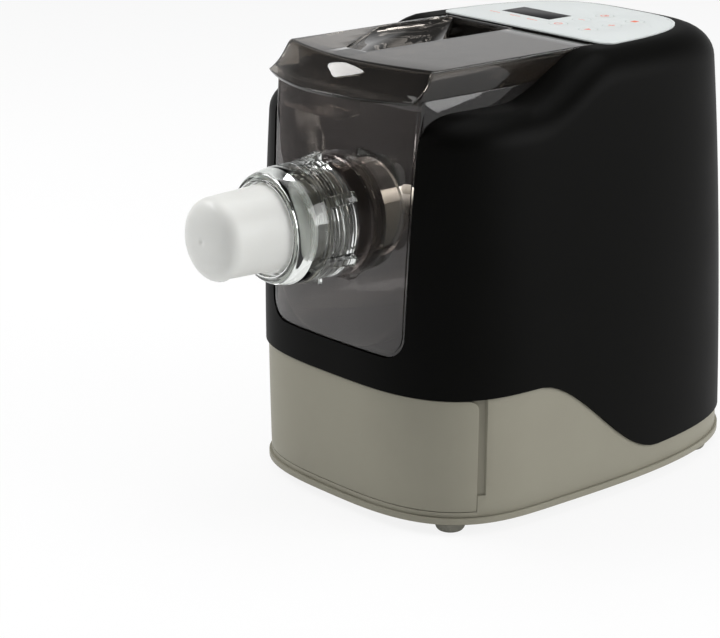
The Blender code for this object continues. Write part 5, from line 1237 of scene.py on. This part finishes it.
bpy.ops.object.mode_set(mode="EDIT")
bpy.ops.mesh.select_all(action="SELECT")
bpy.ops.mesh.fill_holes(sides=4)
mend(flight)
flight.location = ON_AXIS
join(screw, settle(flight))

ARM_RADIUS, ARM_REACH = 0.0050, 0.0560
BLADE_LENGTH, BLADE_WIDTH, BLADE_THICKNESS, BLADE_EASE = 0.0240, 0.0160, 0.0070, 0.0022
ARM_PLACES = ((0.22, 50), (0.52, -70), (0.80, 170))
for share, angle in ARM_PLACES:
    arm = rod("screw_arm", ARM_RADIUS, (CORE / 2, 0, 0), (ARM_REACH - BLADE_WIDTH / 2, 0, 0), 40)
    blade = block("arm_blade", (ARM_REACH - BLADE_WIDTH, -BLADE_LENGTH / 2, -BLADE_THICKNESS / 2),
                  (ARM_REACH, BLADE_LENGTH / 2, BLADE_THICKNESS / 2))
    join(arm, ease(blade, BLADE_EASE, 4))
    arm.rotation_euler = (0, -math.radians(angle), 0)
    arm.location = (0, barrel_high.y + (screw_high.y - barrel_high.y) * share, AXIS)
    join(screw, settle(arm))
cut(screw, bore("screw_socket", (shaft_high.x - shaft_low.x) / 2 + GAP,
                shaft_low.y - GAP, screw_high.y + OVER, steps=48))
dress(screw, "auger", NYLON, "white_nylon", "mixing_screw", smooth=35)

# %% [markdown]
# ## Control panel
# Behind the lid lies a pale overlay with a straight front and a round back. A fine line
# runs a little inside its edge. The display and the six touch keys sit in its openings.

# %% Panel and display
panel = panel_slab("panel_overlay", 0.0, panel_low.z, panel_high.z)
LINE_INSET, LINE_WIDTH, LINE_DEPTH, PANEL_EASE = 0.0015, 0.0004, 0.0002, 0.0003
line = panel_slab("rim_line", -LINE_INSET, panel_high.z - LINE_DEPTH, panel_high.z + OVER)
cut(line, panel_slab("rim_island", -LINE_INSET - LINE_WIDTH, panel_low.z - OVER, panel_high.z + 2 * OVER))
display_low, display_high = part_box("display_window")
display_room = block(
    "display_room", (display_low.x - GAP, display_low.y - GAP, panel_low.z - OVER),
    (display_high.x + GAP, display_high.y + GAP, panel_high.z + OVER))
cut(panel, line, display_room)
KEY_NODES = ["key_%d" % number for number in range(1, 7)]
KEY_RADIUS = 0.0060
for node in KEY_NODES:
    drill(panel, node, KEY_RADIUS + GAP, panel_low.z - OVER, panel_high.z + OVER, 64)
ease(panel, PANEL_EASE, 2, 50)
dress(panel, "body", PALE, "pale_panel", "control_panel")
display = ease(block("display_glass_pane", display_low, display_high), SOFT, 3)
dress(display, "body", DISPLAY, "display_dark", "display_window")

# %% [markdown]
# The keys are flush caps on stems. Each bears a plain sign in orange, inlaid so thinly
# that it reads as print: standby, start, more, less, time and stop. Rings are turned,
# and strokes are small plates.

# %% Keys and their signs
KEY_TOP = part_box(KEY_NODES[0])[1].z
KEY_THICKNESS, KEY_STEM, KEY_EASE = 0.0010, 0.0025, 0.0002
INK = 0.0002
INLAY = 0.00006
STROKE = 0.0006
SIGN = 0.0028


def stroke(start, end, width=STROKE):
    """A straight printed stroke between two points of the key's top."""
    start, end = Vector((*start, 0)), Vector((*end, 0))
    side = (end - start).normalized().cross(Vector((0, 0, 1))) * width / 2
    return plate("stroke", [start - side, end - side, end + side, start + side], (0, 0, INK))


def ring_sign(radius):
    return lathe("ring_sign", [
        (radius - STROKE, 0), (radius, 0), (radius, INK), (radius - STROKE, INK), (radius - STROKE, 0)],
        (0, 0, 0), "Z", 48)


def sign_standby():
    sign = ring_sign(SIGN)
    gap = block("sign_gap", (-2 * STROKE, SIGN / 2, -INK), (2 * STROKE, 2 * SIGN, 2 * INK))
    return join(cut(sign, gap), stroke((0, SIGN / 3), (0, SIGN * 1.15)))


def sign_start():
    back, side = -SIGN * 0.6, SIGN * 0.8
    return plate("start", [(back, -side, 0), (SIGN * 0.9, 0, 0), (back, side, 0)], (0, 0, INK))


def sign_more():
    return join(stroke((-SIGN, 0), (SIGN, 0)), stroke((0, -SIGN), (0, SIGN)))


def sign_less():
    return stroke((-SIGN, 0), (SIGN, 0))


def sign_time():
    return join(ring_sign(SIGN), stroke((0, -STROKE / 2), (0, SIGN * 0.7)), stroke((0, 0), (SIGN * 0.5, 0)))


def sign_stop():
    side = SIGN * 0.75
    corners = [(-side, -side, 0), (side, -side, 0), (side, side, 0), (-side, side, 0)]
    return plate("stop", corners, (0, 0, INK))


SIGNS = (sign_standby, sign_start, sign_less, sign_more, sign_time, sign_stop)
for node, make_sign in zip(KEY_NODES, SIGNS):
    x, y = middle_of(node)
    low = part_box(node)[0].z
    top = KEY_TOP - INLAY
    cap = lathe(node + "_pad", [
        (0, low), (KEY_STEM, low), (KEY_STEM, top - KEY_THICKNESS), (KEY_RADIUS, top - KEY_THICKNESS / 2),
        (KEY_RADIUS, top - KEY_EASE), (KEY_RADIUS - KEY_EASE, top), (0, top)], (x, y, 0), "Z", 64)
    dress(cap, node + "_cap", PALE, "key_pad", node)
    sign = make_sign()
    sign.name = node + "_sign"
    sign.location = (x, y, KEY_TOP - INK)
    dress(sign, node + "_cap", ORANGE, "key_pad")

# %% Printed marks on the panel
MARK_PLACES = ((-0.0500, 0.0784), (-0.0310, 0.0784), (-0.0136, 0.0769))
MARK_LENGTH, MARK_HEIGHT, MARK_PROUD, MARK_EASE = 0.0090, 0.0014, 0.00005, 0.0001
DOT_PITCH = MARK_HEIGHT * 1.5
for index, (x, y) in enumerate(MARK_PLACES):
    ends = x + MARK_LENGTH / 2
    mark = None
    for dot in range(index + 1):
        start = x - MARK_LENGTH / 2 + dot * DOT_PITCH
        piece = block("mark_dot", (start, y - MARK_HEIGHT / 2, panel_high.z - INK),
                      (start + MARK_HEIGHT, y + MARK_HEIGHT / 2, panel_high.z + MARK_PROUD))
        mark = join(mark, piece) if mark else piece
    start += DOT_PITCH
    join(mark, block("mark_bar", (start, y - MARK_HEIGHT / 4, panel_high.z - INK),
                     (ends, y + MARK_HEIGHT / 4, panel_high.z + MARK_PROUD)))
    mark.name = "panel_mark_%d" % (index + 1)
    dress(ease(mark, MARK_EASE), "body", ORANGE, "pale_panel")

# %% [markdown]
# ## Cord gland
# At the back, a short bushing lines the hole for the cord. It is turned with a rounded
# flange and trimmed to the wall's curve.

# %% Gland
GLAND_FLANGE, GLAND_NECK, GLAND_BORE = 0.0100, 0.0070, 0.0040
GLAND_PROUD, GLAND_EASE = 0.0022, 0.0008
wall_y = outline(math.pi, GLAND_HEIGHT, 0.0)[1]
gland_end = wall_y + GLAND_PROUD
gland = lathe("gland_bushing", [
    (GLAND_BORE, gland_low.y), (GLAND_NECK, gland_low.y), (GLAND_NECK, wall_y - HOUSING_WALL),
    (GLAND_FLANGE, wall_y - HOUSING_WALL), (GLAND_FLANGE, gland_end - GLAND_EASE),
    (GLAND_FLANGE - GLAND_EASE, gland_end), (GLAND_BORE + GLAND_EASE, gland_end),
    (GLAND_BORE, gland_end - GLAND_EASE), (GLAND_BORE, gland_low.y)], (0, 0, GLAND_HEIGHT), steps=64)
gland_wall = body_form("gland_wall", -GAP, level(SKIRT_LOW), level(SHOULDER_LOW), walls=16)
cut(gland_wall, bore("neck_room", GLAND_NECK + GAP / 2, gland_low.y - OVER, wall_y + OVER, GLAND_HEIGHT))
cut(gland, gland_wall)
dress(gland, "body", DARK, "dark_plastic", "cord_gland")

# %% [markdown]
# ## Light, floor and background
# Pale plastic needs a plain level of light, at which a colour renders about as it is
# written. Three large soft lamps give that: one from the left, one from the right and one
# from above. The world adds a little from all round.

# %% Lamps
LIGHT_TARGET = Vector((0, 0, 0.14))
LAMPS = (
    ("soft_left", (-1.15, -0.80, 1.35), (1.1, 0.55), 18),
    ("soft_right", (1.50, 1.10, 0.90), (1.2, 1.2), 23),
    ("soft_top", (0.0, 0.30, 1.90), (1.4, 1.4), 14))
for name, place, size, power in LAMPS:
    deselect()
    bpy.ops.object.light_add(type="AREA", location=place)
    lamp = bpy.context.object
    lamp.name = name
    lamp.rotation_euler = (Vector(place) - LIGHT_TARGET).to_track_quat("Z", "Y").to_euler()
    lamp.data.shape = "RECTANGLE"
    lamp.data.size, lamp.data.size_y = size
    lamp.data.energy = power
print("Lamps:", ", ".join(name for name, *_ in LAMPS))

# %% [markdown]
# Real smoked plastic lets daylight into the bowl. Rendered glass stops the lamps' light,
# so a small lamp under the lid stands for it. No mirror or clear wall shows the lamp itself.

# %% Light in the bowl
BOWL_LIGHT_BACK, BOWL_LIGHT_DROP, BOWL_LIGHT_SIZE, BOWL_LIGHT_POWER = 0.0750, 0.0040, 0.09, 0.3


def hide_from(piece, *rays):
    for ray in rays:
        setattr(piece, "visible_" + ray, False)


deselect()
bpy.ops.object.light_add(type="AREA", location=(0, Y_FRONT + BOWL_LIGHT_BACK, BOWL_TOP - BOWL_LIGHT_DROP))
bowl_light = bpy.context.object
bowl_light.name = "bowl_light"
bowl_light.data.size = BOWL_LIGHT_SIZE
bowl_light.data.energy = BOWL_LIGHT_POWER
hide_from(bowl_light, "camera", "glossy", "transmission")
print("The bowl's light is", BOWL_LIGHT_POWER, "W")

# %% [markdown]
# The world is white to the camera. Mirror and glass rays see a white that fades to a dark
# grey overhead, as in a studio, and the object is lit by a duller grey. The floor is mostly
# plain white to all three kinds of ray, and the rest of it keeps the object's shadow.

# %% World and floor
WHITE = (1.0, 1.0, 1.0, 1.0)
WORLD_GREY, WORLD_STRENGTH = (0.62, 0.63, 0.64, 1.0), 0.6
FADE_START, FADE_END, ZENITH = 0.0, 0.45, 0.10
FLOOR_SIZE, FLOOR_WHITE = 8, 0.86


def ray_share(tree, *kinds):
    """1 for a ray of any of these kinds and 0 for the rest."""
    total = add_node(tree, "ShaderNodeLightPath", output=kinds[0])
    for kind in kinds[1:]:
        other = add_node(tree, "ShaderNodeLightPath", output=kind)
        total = add_node(tree, "ShaderNodeMath", {"operation": "MAXIMUM"}, {0: total, 1: other})
    return total


def mix_over(tree, share, under, over):
    return add_node(tree, "ShaderNodeMixShader", None, {0: share, 1: under, 2: over})


world = bpy.data.worlds.new("studio")
bpy.context.scene.world = world
world.use_nodes = True
sky = world.node_tree
daylight = sky.nodes["Background"]
daylight.inputs["Color"].default_value = WORLD_GREY
daylight.inputs["Strength"].default_value = WORLD_STRENGTH
direction = add_node(sky, "ShaderNodeTexCoord", output="Generated")
upward = add_node(sky, "ShaderNodeSeparateXYZ", None, {0: direction}, "Z")
fade = add_node(sky, "ShaderNodeMapRange", None, {
    "Value": upward, "From Min": FADE_START, "From Max": FADE_END, "To Min": 1.0, "To Max": ZENITH})
studio = add_node(sky, "ShaderNodeBackground", None, {"Color": fade})
white = add_node(sky, "ShaderNodeBackground", None, {"Color": WHITE})
mirrors = ray_share(sky, "Is Glossy Ray", "Is Transmission Ray")
lit = mix_over(sky, mirrors, daylight.outputs[0], studio)
seen = mix_over(sky, ray_share(sky, "Is Camera Ray"), lit, white)
sky.links.new(seen, sky.nodes["World Output"].inputs["Surface"])

deselect()
bpy.ops.mesh.primitive_plane_add(size=FLOOR_SIZE, location=(0, 0, 0))
floor = named("floor")
floor_finish = Finish("pale_floor", Roughness=0.9)
floor_finish.feed("Base Color", floor_finish.blend(
    floor_finish.noise(0.3), tone(236, 236, 236), tone(240, 240, 240)))
tree = floor_finish.tree
shine = add_node(tree, "ShaderNodeEmission", None, {"Color": WHITE})
rays = ray_share(tree, "Is Camera Ray", "Is Transmission Ray", "Is Glossy Ray")
share = add_node(tree, "ShaderNodeMath", {"operation": "MULTIPLY"}, {0: rays, 1: FLOOR_WHITE})
shown = mix_over(tree, share, floor_finish.shader.outputs[0], shine)
tree.links.new(shown, tree.nodes["Material Output"].inputs["Surface"])
floor.data.materials.append(floor_finish.material)
bpy.context.scene.view_settings.view_transform = "Standard"
print("The floor is", FLOOR_SIZE, "m wide")

# %% [markdown]
# A photographer lays a dark card in front of a glossy window, just out of the picture, so
# that its upper half doesn't turn milky with reflected table. Only reflections see this one.

# %% Dark card
CARD_PLACE, CARD_SIZE, CARD_TURN = (-0.95, -1.75, 0.004), (3.2, 2.2), math.radians(-24)
deselect()
bpy.ops.mesh.primitive_plane_add(size=1, location=CARD_PLACE, rotation=(0, 0, CARD_TURN))
card = named("dark_card")
card.scale = (*CARD_SIZE, 1)
settle(card)
card_finish = Finish("card_black", Roughness=1.0, Specular_IOR_Level=0.0)
card_finish.feed("Base Color", card_finish.blend(
    card_finish.noise(0.05), tone(40, 40, 40), tone(60, 60, 60)))
card.data.materials.append(card_finish.material)
hide_from(card, "camera", "diffuse", "shadow", "transmission")
print("The card measures", *CARD_SIZE, "m")
